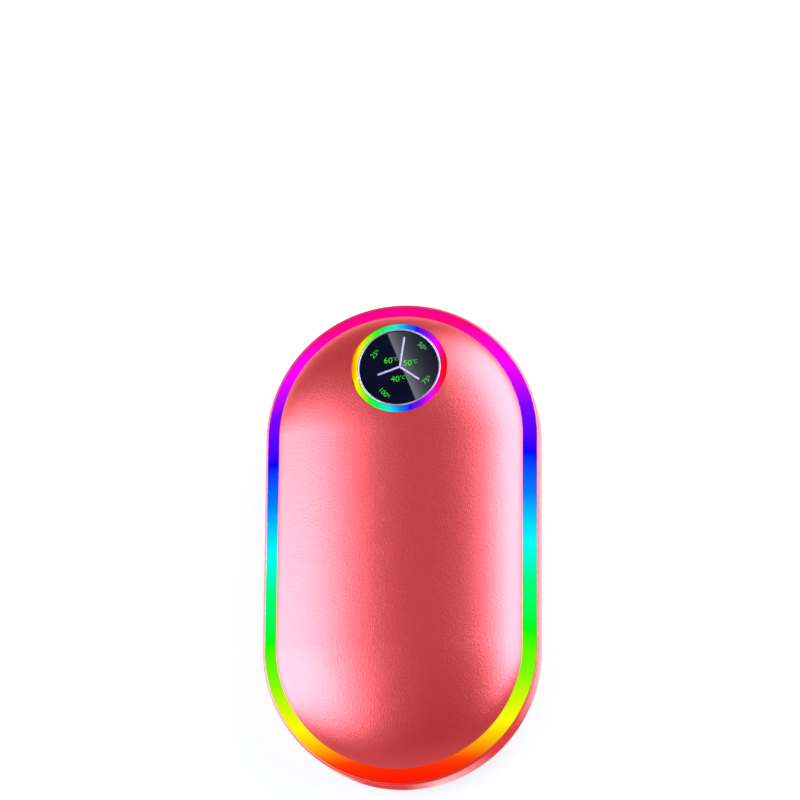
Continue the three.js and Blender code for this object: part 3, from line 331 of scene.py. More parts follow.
# Zinc collar, plated and satin polished: a thin bright edge that takes the room.
SATIN_SILVER_PLATING = Finish(
    "satin_silver_plating", ("#C9B1BC", "#D8C4CA"), roughness=(0.28, 0.36),
    pitch=0.5, relief=0.0008, metallic=1.0,
)
# Silver lacquer laid on the glass as thin bars: pale from all sides, little mirror.
SILVER_LACQUER = Finish(
    "silver_lacquer", ("#9F7A93", "#B189A5"), roughness=(0.42, 0.52),
    pitch=0.3, relief=0.001, metallic=0.2,
)
# Toughened glass over black print: deep black, with the room mirrored in it.
BLACK_PRINTED_GLASS = Finish(
    "black_printed_glass", ("#07050F", "#0B0816"), roughness=(0.01, 0.02),
    pitch=6.0, relief=0.0, ior=1.52,
)
# ABS, moulded against a spark-eroded tool: an even, fine matt texture. The
# texture is about 0.1 mm and is drawn at 0.3 mm to show.
BLACK_MOULDED_ABS = Finish(
    "black_moulded_abs", ("#121214", "#1D1D20"), roughness=(0.45, 0.6), pitch=0.3, relief=0.01
)
# The same plastic left undyed, for parts that nobody sees: a warm, matt white.
WHITE_MOULDED_ABS = Finish(
    "white_moulded_abs", ("#DDDAD2", "#EDEAE4"), roughness=(0.45, 0.6), pitch=0.3, relief=0.01
)
# Glass-epoxy board under green solder mask: tracks show as fine raised lines.
GREEN_CIRCUIT_BOARD = Finish(
    "green_circuit_board", ("#0F4A26", "#1F7A40"), roughness=(0.3, 0.45),
    pitch=1.2, relief=0.02, pattern=Pattern.LINES,
)
# Polyimide film over an etched heating track: amber, with the track's darker bands.
AMBER_POLYIMIDE_FILM = Finish(
    "amber_polyimide_film", ("#A8570F", "#DD8C2C"), roughness=(0.25, 0.4),
    pitch=2.4, relief=0.02, pattern=Pattern.LINES, stretch=(0, 1, 0),
)
# Silicone foam, cut from sheet: open cells of about half a millimetre.
GREY_SILICONE_FOAM = Finish(
    "grey_silicone_foam", ("#55585C", "#7D8186"), roughness=(0.85, 0.98),
    pitch=0.5, relief=0.12, pattern=Pattern.CELLS, spread=(0.0, 0.8),
)
# Aluminium laminate foil, drawn to a pouch: soft wrinkles some millimetres apart.
LAMINATE_FOIL = Finish(
    "laminate_foil", ("#A4A7AD", "#C6C9CE"), roughness=(0.3, 0.42),
    pitch=5.0, relief=0.15, metallic=0.8,
)
# Nickel-plated strip, rolled: a warm grey metal with fine lines along the strip.
ROLLED_NICKEL = Finish(
    "rolled_nickel_plate", ("#BDBBB3", "#D6D4CC"), roughness=(0.28, 0.38),
    pitch=0.3, relief=0.002, stretch=(1, 0.15, 1), metallic=1.0,
)
# Steel, turned and zinc plated: a cool grey metal with rings left by the tool.
TURNED_STEEL = Finish(
    "turned_zinc_plated_steel", ("#8C9299", "#ABB1B8"), roughness=(0.28, 0.4),
    pitch=0.25, relief=0.004, stretch=(0.3, 0.3, 1), metallic=1.0,
)
# Gold flashed on the socket's contacts: small warm glints.
GOLD_FLASH = Finish(
    "gold_flashed_contact", ("#D9A441", "#EBBE62"), roughness=(0.2, 0.3),
    pitch=0.3, relief=0.001, metallic=1.0,
)
# Sintered ferrite: dull dark grey with a sandy break.
SINTERED_FERRITE = Finish(
    "sintered_ferrite", ("#29292C", "#404044"), roughness=(0.6, 0.8), pitch=0.3, relief=0.02
)
# Epoxy moulded round a chip: black, dull, fine.
MOULDED_EPOXY = Finish(
    "moulded_chip_epoxy", ("#121315", "#1E1F22"), roughness=(0.5, 0.65), pitch=0.2, relief=0.006
)
# Polyester film, printed smoke grey on its back: dark, smooth and half glossy.
SMOKED_FILM = Finish(
    "smoked_printed_film", ("#14171B", "#262A30"), roughness=(0.25, 0.35), pitch=2.0, relief=0.001
)


def material_of(finish: Finish | GlowFinish) -> Material:
    """Returns a finish's material, made at its first use."""
    return bpy.data.materials.get(finish.name) or finish.make()


def wire_finish(name: str, tones: tuple[str, str]) -> Finish:
    """Returns the finish of a wire's extruded PVC coat in the given tones."""
    return Finish(name, tones, roughness=(0.4, 0.5), pitch=0.8, relief=0.004)


# PVC, extruded round the wires: a smooth coat with a dull shine.
RED_PVC = wire_finish("red_pvc_wire", ("#A8161C", "#C8242B"))
BLACK_PVC = wire_finish("black_pvc_wire", ("#0E0E0E", "#1A1A1A"))
WHITE_PVC = wire_finish("white_pvc_wire", ("#DEDCD5", "#F2F0EA"))


# Modelling


def turned(degrees: float, axis: str = "Z") -> Matrix:
    """Returns a turn about an axis."""
    return Matrix.Rotation(math.radians(degrees), 4, axis)


def moved(x: float, y: float, z: float) -> Matrix:
    """Returns a move by millimetres."""
    return Matrix.Translation(Vector((x, y, z)) * MM)


def pick(*pieces: Object) -> None:
    """Selects only these pieces and makes the first one active.

    Args:
        pieces: the objects, at least one.
    """
    bpy.ops.object.select_all(action="DESELECT")
    for piece in pieces:
        piece.select_set(True)
    bpy.context.view_layer.objects.active = pieces[0]


def add_primitive(operator: Callable[..., object], **settings: object) -> Object:
    """Adds a primitive while nothing else is selected.

    Args:
        operator: the operator that adds it.
        settings: its settings.

    Returns:
        The new object.
    """
    bpy.ops.object.select_all(action="DESELECT")
    operator(**settings)
    return bpy.context.object


def edit_all() -> None:
    """Opens the active piece's mesh in edit mode, with all of it selected."""
    bpy.ops.object.mode_set(mode="EDIT")
    bpy.ops.mesh.select_mode(type="VERT")
    bpy.ops.mesh.select_all(action="SELECT")


def close_mesh(weld: float) -> None:
    """Merges a mesh's doubled points, turns its faces outwards and leaves edit mode.

    Args:
        weld: how near two points are to be one.
    """
    bpy.ops.mesh.select_all(action="SELECT")
    bpy.ops.mesh.remove_doubles(threshold=weld * MM)
    bpy.ops.mesh.normals_make_consistent(inside=False)
    bpy.ops.object.mode_set(mode="OBJECT")


def place_mesh(piece: Object, place: Matrix) -> None:
    """Moves a piece and writes its new place into its mesh.

    Args:
        piece: the object.
        place: its new place, turn and stretch.
    """
    pick(piece)
    piece.matrix_world = place
    bpy.ops.object.transform_apply(location=True, rotation=True, scale=True)


def combine(piece: Object, tool: Object, operation: str) -> None:
    """Cuts, joins or keeps what a piece shares with a tool, and removes the tool.

    Args:
        piece: the piece that is changed.
        tool: the solid that changes it.
        operation: DIFFERENCE, UNION or INTERSECT.
    """
    pick(piece)
    modifier = piece.modifiers.new("combine", "BOOLEAN")
    modifier.operation = operation
    modifier.solver = "EXACT"
    modifier.object = tool
    bpy.ops.object.modifier_apply(modifier=modifier.name)
    bpy.data.objects.remove(tool, do_unlink=True)


def smooth(piece: Object) -> None:
    """Shades a piece smooth, apart from its sharp creases."""
    pick(piece)
    bpy.ops.object.shade_smooth_by_angle(angle=math.radians(CREASE_DEGREES))


def rounded_box(size: tuple[float, float, float], soft: float, segments: int) -> Object:
    """Makes a box with rounded edges round the origin.

    Args:
        size: its length along each axis.
        soft: how wide the edges are rounded.
        segments: the steps round an edge.

    Returns:
        The box.
    """
    box = add_primitive(bpy.ops.mesh.primitive_cube_add, size=MM)
    place_mesh(box, Matrix.Diagonal((*size, 1)))
    edit_all()
    bpy.ops.mesh.bevel(offset=soft * MM, segments=segments)
    bpy.ops.object.mode_set(mode="OBJECT")
    return box


def arc(centre: Ring, radius: float, start: float, end: float, steps: int) -> list[Ring]:
    """Returns profile points along a part of a circle.

    Args:
        centre: the circle's centre, as radius and height.
        radius: the circle's own radius.
        start: the first point's angle, in degrees from straight outwards.
        end: the last point's angle.
        steps: how many steps lead from the first point to the last.

    Returns:
        The points, one more than the steps.
    """
    angles = [math.radians(start + (end - start) * i / steps) for i in range(steps + 1)]
    return [(centre[0] + radius * math.cos(a), centre[1] + radius * math.sin(a)) for a in angles]


@dataclass(frozen=True)
class TurnedForm:
    """A profile of rings turned about the upright axis, its halves then drawn apart.

    A form that isn't hollow has a flat face on its first and last ring. A last
    ring of almost no radius closes in a point, or in a ridge where it is drawn.
    A hollow form's last ring is its first one again.
    """

    rings: list[Ring]
    steps: int
    draw: float = 0.0
    hollow: bool = False

    def build(self, name: str) -> Object:
        """Builds the form as a closed mesh.

        Args:
            name: its name.

        Returns:
            The object.
        """
        radius, height = self.rings[0]
        end = "NOTHING" if self.hollow else "NGON"
        circle = {"vertices": self.steps, "radius": radius * MM, "fill_type": end}
        piece = add_primitive(bpy.ops.mesh.primitive_circle_add, **circle)
        piece.name = piece.data.name = name
        edit_all()
        bpy.ops.transform.translate(value=(0, 0, height * MM))
        half_step = math.pi / self.steps
        bpy.ops.transform.rotate(value=half_step, orient_axis="Z", center_override=(0, 0, 0))
        for (old, low), (new, high) in zip(self.rings, self.rings[1:], strict=False):
            rise = {"value": (0, 0, (high - low) * MM)}
            bpy.ops.mesh.extrude_region_move(TRANSFORM_OT_translate=rise)
            size = (new / old, new / old, 1)
            bpy.ops.transform.resize(value=size, center_override=(0, 0, high * MM))
        for side in (-1, 1) if self.draw else ():
            bpy.ops.mesh.select_all(action="DESELECT")
            bpy.ops.object.mode_set(mode="OBJECT")
            for vertex in piece.data.vertices:
                vertex.select = vertex.co.y * side > 0
            bpy.ops.object.mode_set(mode="EDIT")
            bpy.ops.transform.translate(value=(0, side * self.draw * MM, 0))
        close_mesh(WELD)
        return piece


def mount(piece: Object, finish: Finish | GlowFinish, body: str, slot: str, *nodes: str) -> None:
    """Dresses a finished piece and ties it to the frame.

    Args:
        piece: the finished piece.
        finish: its finish.
        body: the CAD body that it rides on.
        slot: the record's material slot of its finish; not used.
        nodes: the CAD nodes that it stands for.
    """
    piece.data.materials.clear()
    piece.data.materials.append(material_of(finish))
    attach(piece, body)
    if nodes:
        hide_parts(*nodes)
    faces = len(piece.data.polygons)
    LOG.info("%s: %d faces in %s, on %s", piece.name, faces, finish.name, body)


# The object


@dataclass(frozen=True)
class Dome:
    """The front's rise, an arc of an ellipse across the body."""

    crown: float = 24.8
    edge_radius: float = 26.7
    edge_height: float = 18.9
    fullness: float = 1.04

    @property
    def spread(self) -> float:
        """Half width of the whole ellipse."""
        return self.edge_radius * self.fullness

    @property
    def drop(self) -> float:
        """Half height of the whole ellipse."""
        rise = self.crown - self.edge_height
        return rise / (1 - math.sqrt(1 - self.fullness**-2))

    def height(self, radius: float) -> float:
        """Returns the outer face's height at a distance from the middle line."""
        return self.crown - self.drop * (1 - math.sqrt(1 - (radius / self.spread) ** 2))

    def slope(self, radius: float) -> float:
        """Returns the outer face's fall for each millimetre outwards."""
        across = math.sqrt(self.spread**2 - radius**2)
        return self.drop * radius / (self.spread * across)

    def under(self, radius: float, depth: float) -> float:
        """Returns the height of a layer that lies that deep under the outer face."""
        return self.height(radius) - depth * math.hypot(1, self.slope(radius))


@dataclass(frozen=True)
class DisplaySeat:
    """Where the display sits in the dome: its own frame and its well."""

    dome: Dome = field(default_factory=Dome)
    reach: float = 14.3
    middle: float = 37.3
    sink: float = 0.9
    well_radius: float = 10.55
    well_depth: float = 7.1

    @property
    def frame(self) -> Matrix:
        """Place and tilt of the display's own frame, square to the dome."""
        tilt = math.atan(self.dome.slope(self.reach))
        height = self.dome.height(self.reach) - self.sink
        return moved(0, self.middle, height) @ Matrix.Rotation(-tilt, 4, "X")


@dataclass(frozen=True)
class Housing:
    """Front and back shells with the lit ring between them."""

    seat: DisplaySeat = field(default_factory=DisplaySeat)
    steps: int = 192
    draw: float = 23.0
    wall: float = 1.2
    end_radius: float = 30.0
    seam: float = 16.4
    fillet: float = 9.0
    rim_round: float = 0.45
    lip: float = 0.5
    skirt_radius: float = 25.7
    skirt_bottom: float = 15.9
    ring_bore: float = 26.0
    ring_foot_radius: float = 28.5
    ring_bottom: float = 13.3
    ring_step: float = 0.05
    ring_crown: float = 0.1
    crown_way: tuple[float, float] = (0.67, 0.75)
    edge_break: float = 0.12
    inner_pole: float = 1.0
    outer_pole: float = 0.0005
    dome_steps: int = 36
    fillet_steps: int = 16
    rim_steps: int = 4
    ring_steps: int = 8

    def dome_rings(self, start: float, end: float, depth: float) -> list[Ring]:
        """Returns rings along the dome, at a depth under its outer face.

        Args:
            start: the first ring's radius.
            end: the last ring's radius.
            depth: how deep under the outer face the rings lie.

        Returns:
            The rings, spaced closer towards the dome's edge.
        """
        spread = self.seat.dome.spread
        first, last = math.asin(start / spread), math.asin(end / spread)
        rings = []
        for i in range(self.dome_steps + 1):
            radius = spread * math.sin(first + (last - first) * i / self.dome_steps)
            rings.append((radius, self.seat.dome.under(radius, depth)))
        return rings

    def front_shell(self) -> Object:
        """Builds the domed shell with its skirt and the well for the display.

        Returns:
            The shell.
        """
        edge, low = self.seat.dome.edge_radius, self.seat.dome.edge_height
        bore = self.skirt_radius - self.wall
        rings = [
            *self.dome_rings(self.inner_pole, bore, self.wall),
            (bore, self.skirt_bottom),
            (self.skirt_radius, self.skirt_bottom),
            (self.skirt_radius, low),
            (edge - self.edge_break, low),
            *self.dome_rings(edge - self.edge_break / 3, self.outer_pole, 0),
        ]
        shell = TurnedForm(rings, self.steps, self.draw).build("domed_front_shell")
        radius, depth = self.seat.well_radius, self.seat.well_depth
        plug = TurnedForm([(radius, -depth), (radius, depth)], self.steps)
        well = plug.build("display_well")
        place_mesh(well, self.seat.frame)
        combine(shell, well, "DIFFERENCE")
        smooth(shell)
        return shell

    def outer_skin(self) -> list[Ring]:
        """Draws the rear shell's outer face, from the flat of the back to its rim.

        Returns:
            The face's rings.
        """
        floor, rim = self.end_radius - self.fillet, self.end_radius - self.rim_round
        top = (rim, self.seam - self.rim_round)
        return [
            (floor - self.wall, 0),
            *arc((floor, self.fillet), self.fillet, -90, 0, self.fillet_steps),
            *arc(top, self.rim_round, 0, 90, self.rim_steps),
        ]

    def rear_shell(self, socket: "ChargingSocket") -> Object:
        """Builds the rear shell, with the opening for the charging socket.

        Args:
            socket: the charging socket.

        Returns:
            The shell.
        """
        floor = self.end_radius - self.fillet
        bore = self.end_radius - self.wall
        inner = arc((floor, self.fillet), self.fillet - self.wall, 0, -90, self.fillet_steps)
        rings = [*self.outer_skin(), (bore, self.seam), *inner]
        shell = TurnedForm(rings, self.steps, self.draw).build("domed_rear_shell")
        combine(shell, socket.plug(socket.glue_gap, "socket_opening"), "DIFFERENCE")
        smooth(shell)
        return shell

    def light_ring(self) -> Object:
        """Builds the frosted ring: its lit face, its ledge and its foot.

        Returns:
            The ring.
        """
        low, top = self.seam + self.ring_step, self.seat.dome.edge_height
        outer, inner = self.end_radius - self.lip, self.seat.dome.edge_radius
        face = []
        for i in range(self.ring_steps + 1):
            way = i / self.ring_steps
            bulge = self.ring_crown * 4 * way * (1 - way)
            radius = outer + (inner - outer) * way + bulge * self.crown_way[0]
            face.append((radius, low + (top - low) * way + bulge * self.crown_way[1]))
        rings = [
            (self.ring_bore, self.ring_bottom),
            (self.ring_foot_radius, self.ring_bottom),
            (self.ring_foot_radius, self.seam),
            (outer - self.ring_step, self.seam),
            *face,
            (self.ring_bore, top),
            (self.ring_bore, self.ring_bottom),
        ]
        ring = TurnedForm(rings, self.steps, self.draw, hollow=True).build("lit_ring")
        smooth(ring)
        return ring

    def build(self, socket: "ChargingSocket") -> None:
        """Builds, dresses and mounts both shells and the ring.

        Args:
            socket: the charging socket.
        """
        coral = CORAL_ANODISED_ALUMINIUM
        front, rear, ring = self.front_shell(), self.rear_shell(socket), self.light_ring()
        mount(front, coral, "housing", "coral_aluminium", "front_shell")
        mount(rear, coral, "housing", "coral_aluminium", "rear_shell")
        mount(ring, FROSTED_RING_LIGHT, "housing", "glow_diffuser", "light_ring")


@dataclass(frozen=True)
class Legend:
    """One lit legend of the display: a number and its small raised unit."""

    number: str
    unit: str
    across: float
    up: float
    height: float
    turn_degrees: float = 0.0


@dataclass(frozen=True)
class Display:
    """The round display, which is also the press button, and its lit halo."""

    seat: DisplaySeat = field(default_factory=DisplaySeat)
    steps: int = 128
    halo_radius: float = 10.4
    halo_bore: float = 9.25
    halo_depth: float = 2.6
    halo_round: float = 0.24
    halo_steps: int = 5
    edge_round: float = 0.12
    edge_steps: int = 3
    bezel_radius: float = 9.1
    bezel_bore: float = 8.74
    bezel_proud: float = 0.25
    bezel_bottom: float = -1.35
    bezel_round: float = 0.072
    bezel_steps: int = 4
    bezel_flat: float = 0.108
    ledge_bore: float = 7.6
    ledge_top: float = -1.0
    lens_radius: float = 8.68
    lens_top: float = -0.05
    lens_thickness: float = 0.9
    lens_round: float = 0.06
    bar_width: float = 0.42
    bar_thickness: float = 0.2
    bar_steps: int = 24
    hub: tuple[float, float] = (0.2, 0.12)
    bars: tuple[tuple[float, float], ...] = ((6.95, 83.6), (5.1, -35.2), (4.95, -159.1))
    legend_rise: float = 0.012
    legend_thinning: float = 0.02
    capital_share: float = 0.72
    unit_share: float = 0.56
    unit_gap_share: float = 0.1
    letter_steps: int = 4
    legends: tuple[Legend, ...] = (
        Legend("60", "°C", -1.8, 1.8, 1.42),
        Legend("50", "°C", 2.45, 1.15, 1.42),
        Legend("40", "°C", -0.15, -2.6, 1.42),
        Legend("25", "%", -5.35, 3.4, 1.15, 43),
        Legend("50", "%", 5.0, 4.95, 1.15, -50),
        Legend("75", "%", 6.15, -3.0, 1.15, 46),
        Legend("100", "%", -2.9, -6.05, 1.15, -46),
    )

    def finished(self, rings: list[Ring], name: str, hollow: bool = True) -> Object:
        """Builds a round piece of the display, smoothed and in its place.

        Args:
            rings: its profile.
            name: its name.
            hollow: whether it has a bore.

        Returns:
            The piece.
        """
        piece = TurnedForm(rings, self.steps, hollow=hollow).build(name)
        place_mesh(piece, self.seat.frame)
        smooth(piece)
        return piece

    def halo(self) -> Object:
        """Builds the flat lit collar with its rounded outer edge.

        Returns:
            The collar.
        """
        bore, radius, low = self.halo_bore, self.halo_radius, -self.halo_depth
        wide, soft = self.halo_round, self.edge_round
        rings = [
            (bore, low),
            (radius, low),
            *arc((radius - wide, -wide), wide, 0, 90, self.halo_steps),
            *arc((bore + soft, -soft), soft, 90, 180, self.edge_steps),
            (bore, low),
        ]
        return self.finished(rings, "lit_halo")

    def bezel(self) -> Object:
        """Builds the plated ring round the lens, with the ledge that carries it.

        Returns:
            The ring.
        """
        radius, bore, top = self.bezel_radius, self.bezel_bore, self.bezel_proud
        low, soft = self.bezel_bottom, self.bezel_round
        rings = [
            (self.ledge_bore, low),
            (radius, low),
            *arc((radius - soft, top - soft), soft, 0, 90, self.bezel_steps),
            (radius - self.bezel_flat, top),
            (bore + self.bezel_flat, top),
            *arc((bore + soft, top - soft), soft, 90, 180, self.edge_steps),
            (bore, self.ledge_top),
            (self.ledge_bore, self.ledge_top),
            (self.ledge_bore, low),
        ]
        return self.finished(rings, "silver_bezel")

    def lens(self) -> Object:
        """Builds the glass disc with its ground edge.

        Returns:
            The disc.
        """
        top, low, soft = self.lens_top, self.lens_top - self.lens_thickness, self.lens_round
        edge = self.lens_radius - soft
        rings = [
            (edge, low),
            (self.lens_radius, low + soft),
            *arc((edge, top - soft), soft, 0, 90, self.edge_steps),
            (edge - soft, top),
        ]
        return self.finished(rings, "gloss_lens", hollow=False)

    def bar(self, length: float, degrees: float) -> Object:
        """Builds one divider bar with round ends, laid from the hub outwards.

        Args:
            length: its length.
            degrees: its turn about the hub.

        Returns:
            The bar.
        """
        half, top = self.bar_width / 2, self.bar_thickness
        soft = top / 3
        rings = [(half, 0), *arc((half - soft, top - soft), soft, 0, 90, self.edge_steps)]
        piece = TurnedForm(rings, self.bar_steps, length / 2).build("divider_bar")
        out = turned(degrees) @ moved(length / 2, 0, 0) @ turned(-90)
        place_mesh(piece, moved(*self.hub, 0) @ out)
        return piece

    def divider(self) -> Object:
        """Builds the three bars, joined at their hub.

        Returns:
            The joined bars.
        """
        first, *others = [self.bar(*bar) for bar in self.bars]
        for other in others:
            combine(first, other, "UNION")
        first.name = first.data.name = "silver_divider"
        place_mesh(first, self.seat.frame)
        smooth(first)
        return first

    def word(self, text: str, height: float, across: float, up: float) -> Object:
        """Builds a word as a thin closed mesh.

        Args:
            text: the word.
            height: the height of its capitals.
            across: where its left edge lies.
            up: where its base line lies.

        Returns:
            The word.
        """
        piece = add_primitive(bpy.ops.object.text_add)
        piece.data.body = text
        piece.data.size = height / self.capital_share * MM
        piece.data.extrude = self.legend_rise * MM / 2
        piece.data.offset = -self.legend_thinning * height * MM
        piece.data.resolution_u = self.letter_steps
        bpy.ops.object.convert(target="MESH")
        low = min(corner[0] for corner in piece.bound_box)
        place_mesh(piece, Matrix.Translation(Vector((across * MM - low, up * MM, 0))))
        return piece

    def legend(self, legend: Legend, name: str) -> Object:
        """Builds one legend as a thin mesh on the glass.

        Args:
            legend: what it says, how large and where.
            name: its name.

        Returns:
            The legend.
        """
        size = legend.height
        number = self.word(legend.number, size, 0, 0)
        width, small = number.dimensions.x / MM, size * self.unit_share
        gap = size * self.unit_gap_share
        pick(number, self.word(legend.unit, small, width + gap, size - small))
        bpy.ops.object.join()
        number.name = number.data.name = name
        edit_all()
        close_mesh(LETTER_WELD)
        centre = Vector((number.dimensions.x / 2, size * MM / 2, 0))
        spot = moved(legend.across, legend.up, self.lens_top + self.legend_rise)
        spot = self.seat.frame @ spot @ turned(legend.turn_degrees)
        place_mesh(number, spot @ Matrix.Translation(-centre))
        return number

    def build(self) -> None:
        """Builds, dresses and mounts the halo, the button and its legends."""
        silver = SATIN_SILVER_PLATING
        mount(self.halo(), FROSTED_HALO_LIGHT, "housing", "glow_diffuser", "display_halo")
        mount(self.bezel(), silver, "button", "silver_plating", "button_bezel")
        mount(self.lens(), BLACK_PRINTED_GLASS, "button", "black_lens", "display_lens")
        mount(self.divider(), SILVER_LACQUER, "button", "silver_plating", "divider_bars")
        for i, legend in enumerate(self.legends):
            piece = self.legend(legend, f"legend_{i + 1}")
            mount(piece, LEGEND_GREEN, "button", "smoke_film")


@dataclass(frozen=True)
class ChargingSocket:
    """The charging socket in the end wall: its frame, can, tongue and contacts."""

    steps: int = 64
    centre: float = 9.38
    mouth: float = 52.1
    depth: float = 7.3
    half_height: float = 1.63
    bend: float = 2.84
    can_wall: float = 0.3
    can_steps: int = 6
    frame_wall: float = 1.4
    frame_round: float = 0.36
    frame_proud: float = 0.75
    frame_steps: int = 4
    overrun: float = 2.0
    fit_gap: float = 0.3
    glue_gap: float = 0.15
    flange_half_height: float = 3.73
    flange_near: float = 49.64
    flange_depth: float = 1.1
    tongue_half_width: float = 3.35
    tongue_thickness: float = 0.7
    tongue_round: float = 0.12
    tongue_steps: int = 3
    tongue_sink: float = 0.8
    tongue_base: float = 2.0
    contact_count: int = 12
    contact_pitch: float = 0.5
    contact_size: tuple[float, float, float] = (0.25, 3.6, 0.08)
    contact_round: float = 0.03
    contact_steps: int = 2
    contact_setback: float = 0.5

    def laid(self, rings: list[Ring], name: str, hollow: bool = False) -> Object:
        """Builds a slot-shaped form and lays it into the end wall, its top outwards.

        Args:
            rings: its profile, as half heights and places along Y.
            name: its name.
            hollow: whether it has a bore.

        Returns:
            The form.
        """
        piece = TurnedForm(rings, self.steps, self.bend, hollow).build(name)
        place_mesh(piece, moved(0, 0, self.centre) @ turned(-90, "X") @ turned(90))
        return piece

    def plug(self, margin: float, name: str) -> Object:
        """Returns a plug of the frame's outline that goes right through the end wall."""
        radius = self.half_height + self.frame_wall + margin
        return self.laid([(radius, self.flange_near), (radius, self.mouth + self.overrun)], name)

    def frame(self, housing: Housing) -> Object:
        """Builds the moulded frame, flush with the rear shell's skin.

        Args:
            housing: the housing that it sits in.

        Returns:
            The frame.
        """
        bore, outer = self.half_height + self.fit_gap, self.half_height + self.frame_wall
        near, far = self.flange_near, self.mouth + self.overrun
        soft = self.frame_round
        lip = (bore + soft, self.mouth + self.frame_proud - soft)
        rings = [
            (bore, near),
            (self.flange_half_height, near),
            (self.flange_half_height, near + self.flange_depth),
            (outer, near + self.flange_depth),
            (outer, far),
            (bore + soft, far),
            *arc(lip, soft, 90, 180, self.frame_steps),
            (bore, near),
        ]
        piece = self.laid(rings, "socket_frame", hollow=True)
        skin = TurnedForm(housing.outer_skin(), housing.steps, housing.draw).build("skin")
        combine(piece, skin, "INTERSECT")
        smooth(piece)
        return piece

    def can(self) -> Object:
        """Builds the drawn metal can with its rolled mouth.

        Returns:
            The can.
        """
        outer, soft = self.half_height, self.can_wall / 2
        back = self.mouth - self.depth
        rings = [
            (outer, back),
            *arc((outer - soft, self.mouth - soft), soft, 0, 180, self.can_steps),
            (outer - self.can_wall, back + self.can_wall),
        ]
        piece = self.laid(rings, "socket_can")
        smooth(piece)
        return piece

    def tongue(self) -> Object:
        """Builds the moulded tongue with its thicker base.

        Returns:
            The tongue.
        """
        base = self.half_height - self.can_wall - self.glue_gap
        back = self.mouth - self.depth + self.can_wall + self.glue_gap
        tip = self.mouth - self.tongue_sink
        piece = self.laid([(base, back), (base, back + self.tongue_base)], "socket_tongue")
        size = (2 * self.tongue_half_width, tip - back, self.tongue_thickness)
        blade = rounded_box(size, self.tongue_round, self.tongue_steps)
        place_mesh(blade, moved(0, (back + tip) / 2, self.centre))
        combine(piece, blade, "UNION")
        smooth(piece)
        return piece

    def contacts(self) -> Object:
        """Builds the gilt contacts on both faces of the tongue, as one piece.

        Returns:
            The joined contacts.
        """
        tip = self.mouth - self.tongue_sink - self.contact_setback
        first = rounded_box(self.contact_size, self.contact_round, self.contact_steps)
        copies = []
        for face in (-1, 1):
            level = self.centre + face * self.tongue_thickness / 2
            for i in range(self.contact_count):
                across = (i - (self.contact_count - 1) / 2) * self.contact_pitch
                pick(first)
                bpy.ops.object.duplicate(linked=False)
                copies.append(bpy.context.object)
                place_mesh(copies[-1], moved(across, tip - self.contact_size[1] / 2, level))
        bpy.data.objects.remove(first, do_unlink=True)
        pick(*copies)
        bpy.ops.object.join()
        piece = bpy.context.object
        piece.name = piece.data.name = "socket_contacts"
        smooth(piece)
        return piece

    def build(self, housing: Housing) -> None:
        """Builds, dresses and mounts the socket.

        Args:
            housing: the housing that it sits in.
        """
        black, frame = BLACK_MOULDED_ABS, self.frame(housing)
        mount(frame, black, "housing", "black_abs", "port_bezel")
        mount(self.can(), ROLLED_NICKEL, "housing", "nickel_plate", "port_shell")
        mount(self.tongue(), black, "housing", "black_abs", "port_tongue")
        mount(self.contacts(), GOLD_FLASH, "housing", "nickel_plate")


@dataclass(frozen=True)
class InnerParts:
    """The CAD nodes that keep their own shape and get a finish here.

    A name that ends in an underscore stands for all nodes that start with it.
    """

    finishes: tuple[tuple[Finish, tuple[str, ...]], ...] = (
        (WHITE_MOULDED_ABS, ("ring_light_strip", "battery_tray", "front_frame", "button_carrier")),
        (BLACK_MOULDED_ABS, ("button_guide", "switch_body", "switch_stem")),
        (TURNED_STEEL, ("frame_screw_", "guide_screw_", "bulk_capacitor")),
        (AMBER_POLYIMIDE_FILM, ("rear_heater", "front_heater")),
        (GREY_SILICONE_FOAM, ("rear_insulation", "front_insulation", "battery_foam")),
        (MOULDED_EPOXY, ("rear_sensor", "front_sensor", "charger_chip", "controller_chip")),
        (LAMINATE_FOIL, ("battery_pouch",)),
        (GREEN_CIRCUIT_BOARD, ("protection_board", "main_board", "display_board")),
        (ROLLED_NICKEL, ("battery_tab_",)),
        (SINTERED_FERRITE, ("power_inductor",)),
        (SMOKED_FILM, ("legend_film",)),
        (RED_PVC, ("battery_lead_positive",)),
        (BLACK_PVC, ("battery_lead_negative",)),
        (WHITE_PVC, ("display_ribbon", "rear_heater_lead_", "front_heater_lead_")),
    )

    def build(self, nodes: dict[str, Object]) -> None:
        """Gives each carried-over CAD node the one finish that lists it.

        Args:
            nodes: the CAD nodes by name.
        """
        for name, node in nodes.items():
            if node.hide_render:
                continue
            [finish] = [
                finish
                for finish, starts in self.finishes
                for start in starts
                if name == start or (start.endswith("_") and name.startswith(start))
            ]
            for slot in node.material_slots:
                slot.material = material_of(finish)
            LOG.info("%s: %s", name, finish.name)


# The studio


@dataclass(frozen=True)
class Softbox:
    """A large soft lamp that looks at the object from a distance of its own.

    Its place is given by two turns: down from straight overhead, and round from
    the object's right-hand side.
    """

    name: str
    down_degrees: float
    round_degrees: float
    size: tuple[float, float]
    radiance: float
    distance: float = 1.2
    tint: str = "#A8E9FF"

    def build(self, target: Vector) -> None:
        """Adds the lamp, turned to the target.

        Args:
            target: the point that it looks at.
        """
        data = bpy.data.lights.new(self.name, "AREA")
        data.shape = "RECTANGLE"
        data.size, data.size_y = self.size
        data.energy = self.radiance * math.pi * self.size[0] * self.size[1]
        data.color = linear(self.tint)[:3]
        lamp = bpy.data.objects.new(self.name, data)
        lamp.visible_camera = False
        bpy.context.scene.collection.objects.link(lamp)
        swing = turned(self.round_degrees) @ turned(self.down_degrees, "Y")
        back = Matrix.Translation((0, 0, self.distance))
        lamp.matrix_world = Matrix.Translation(target) @ swing @ back @ turned(90)


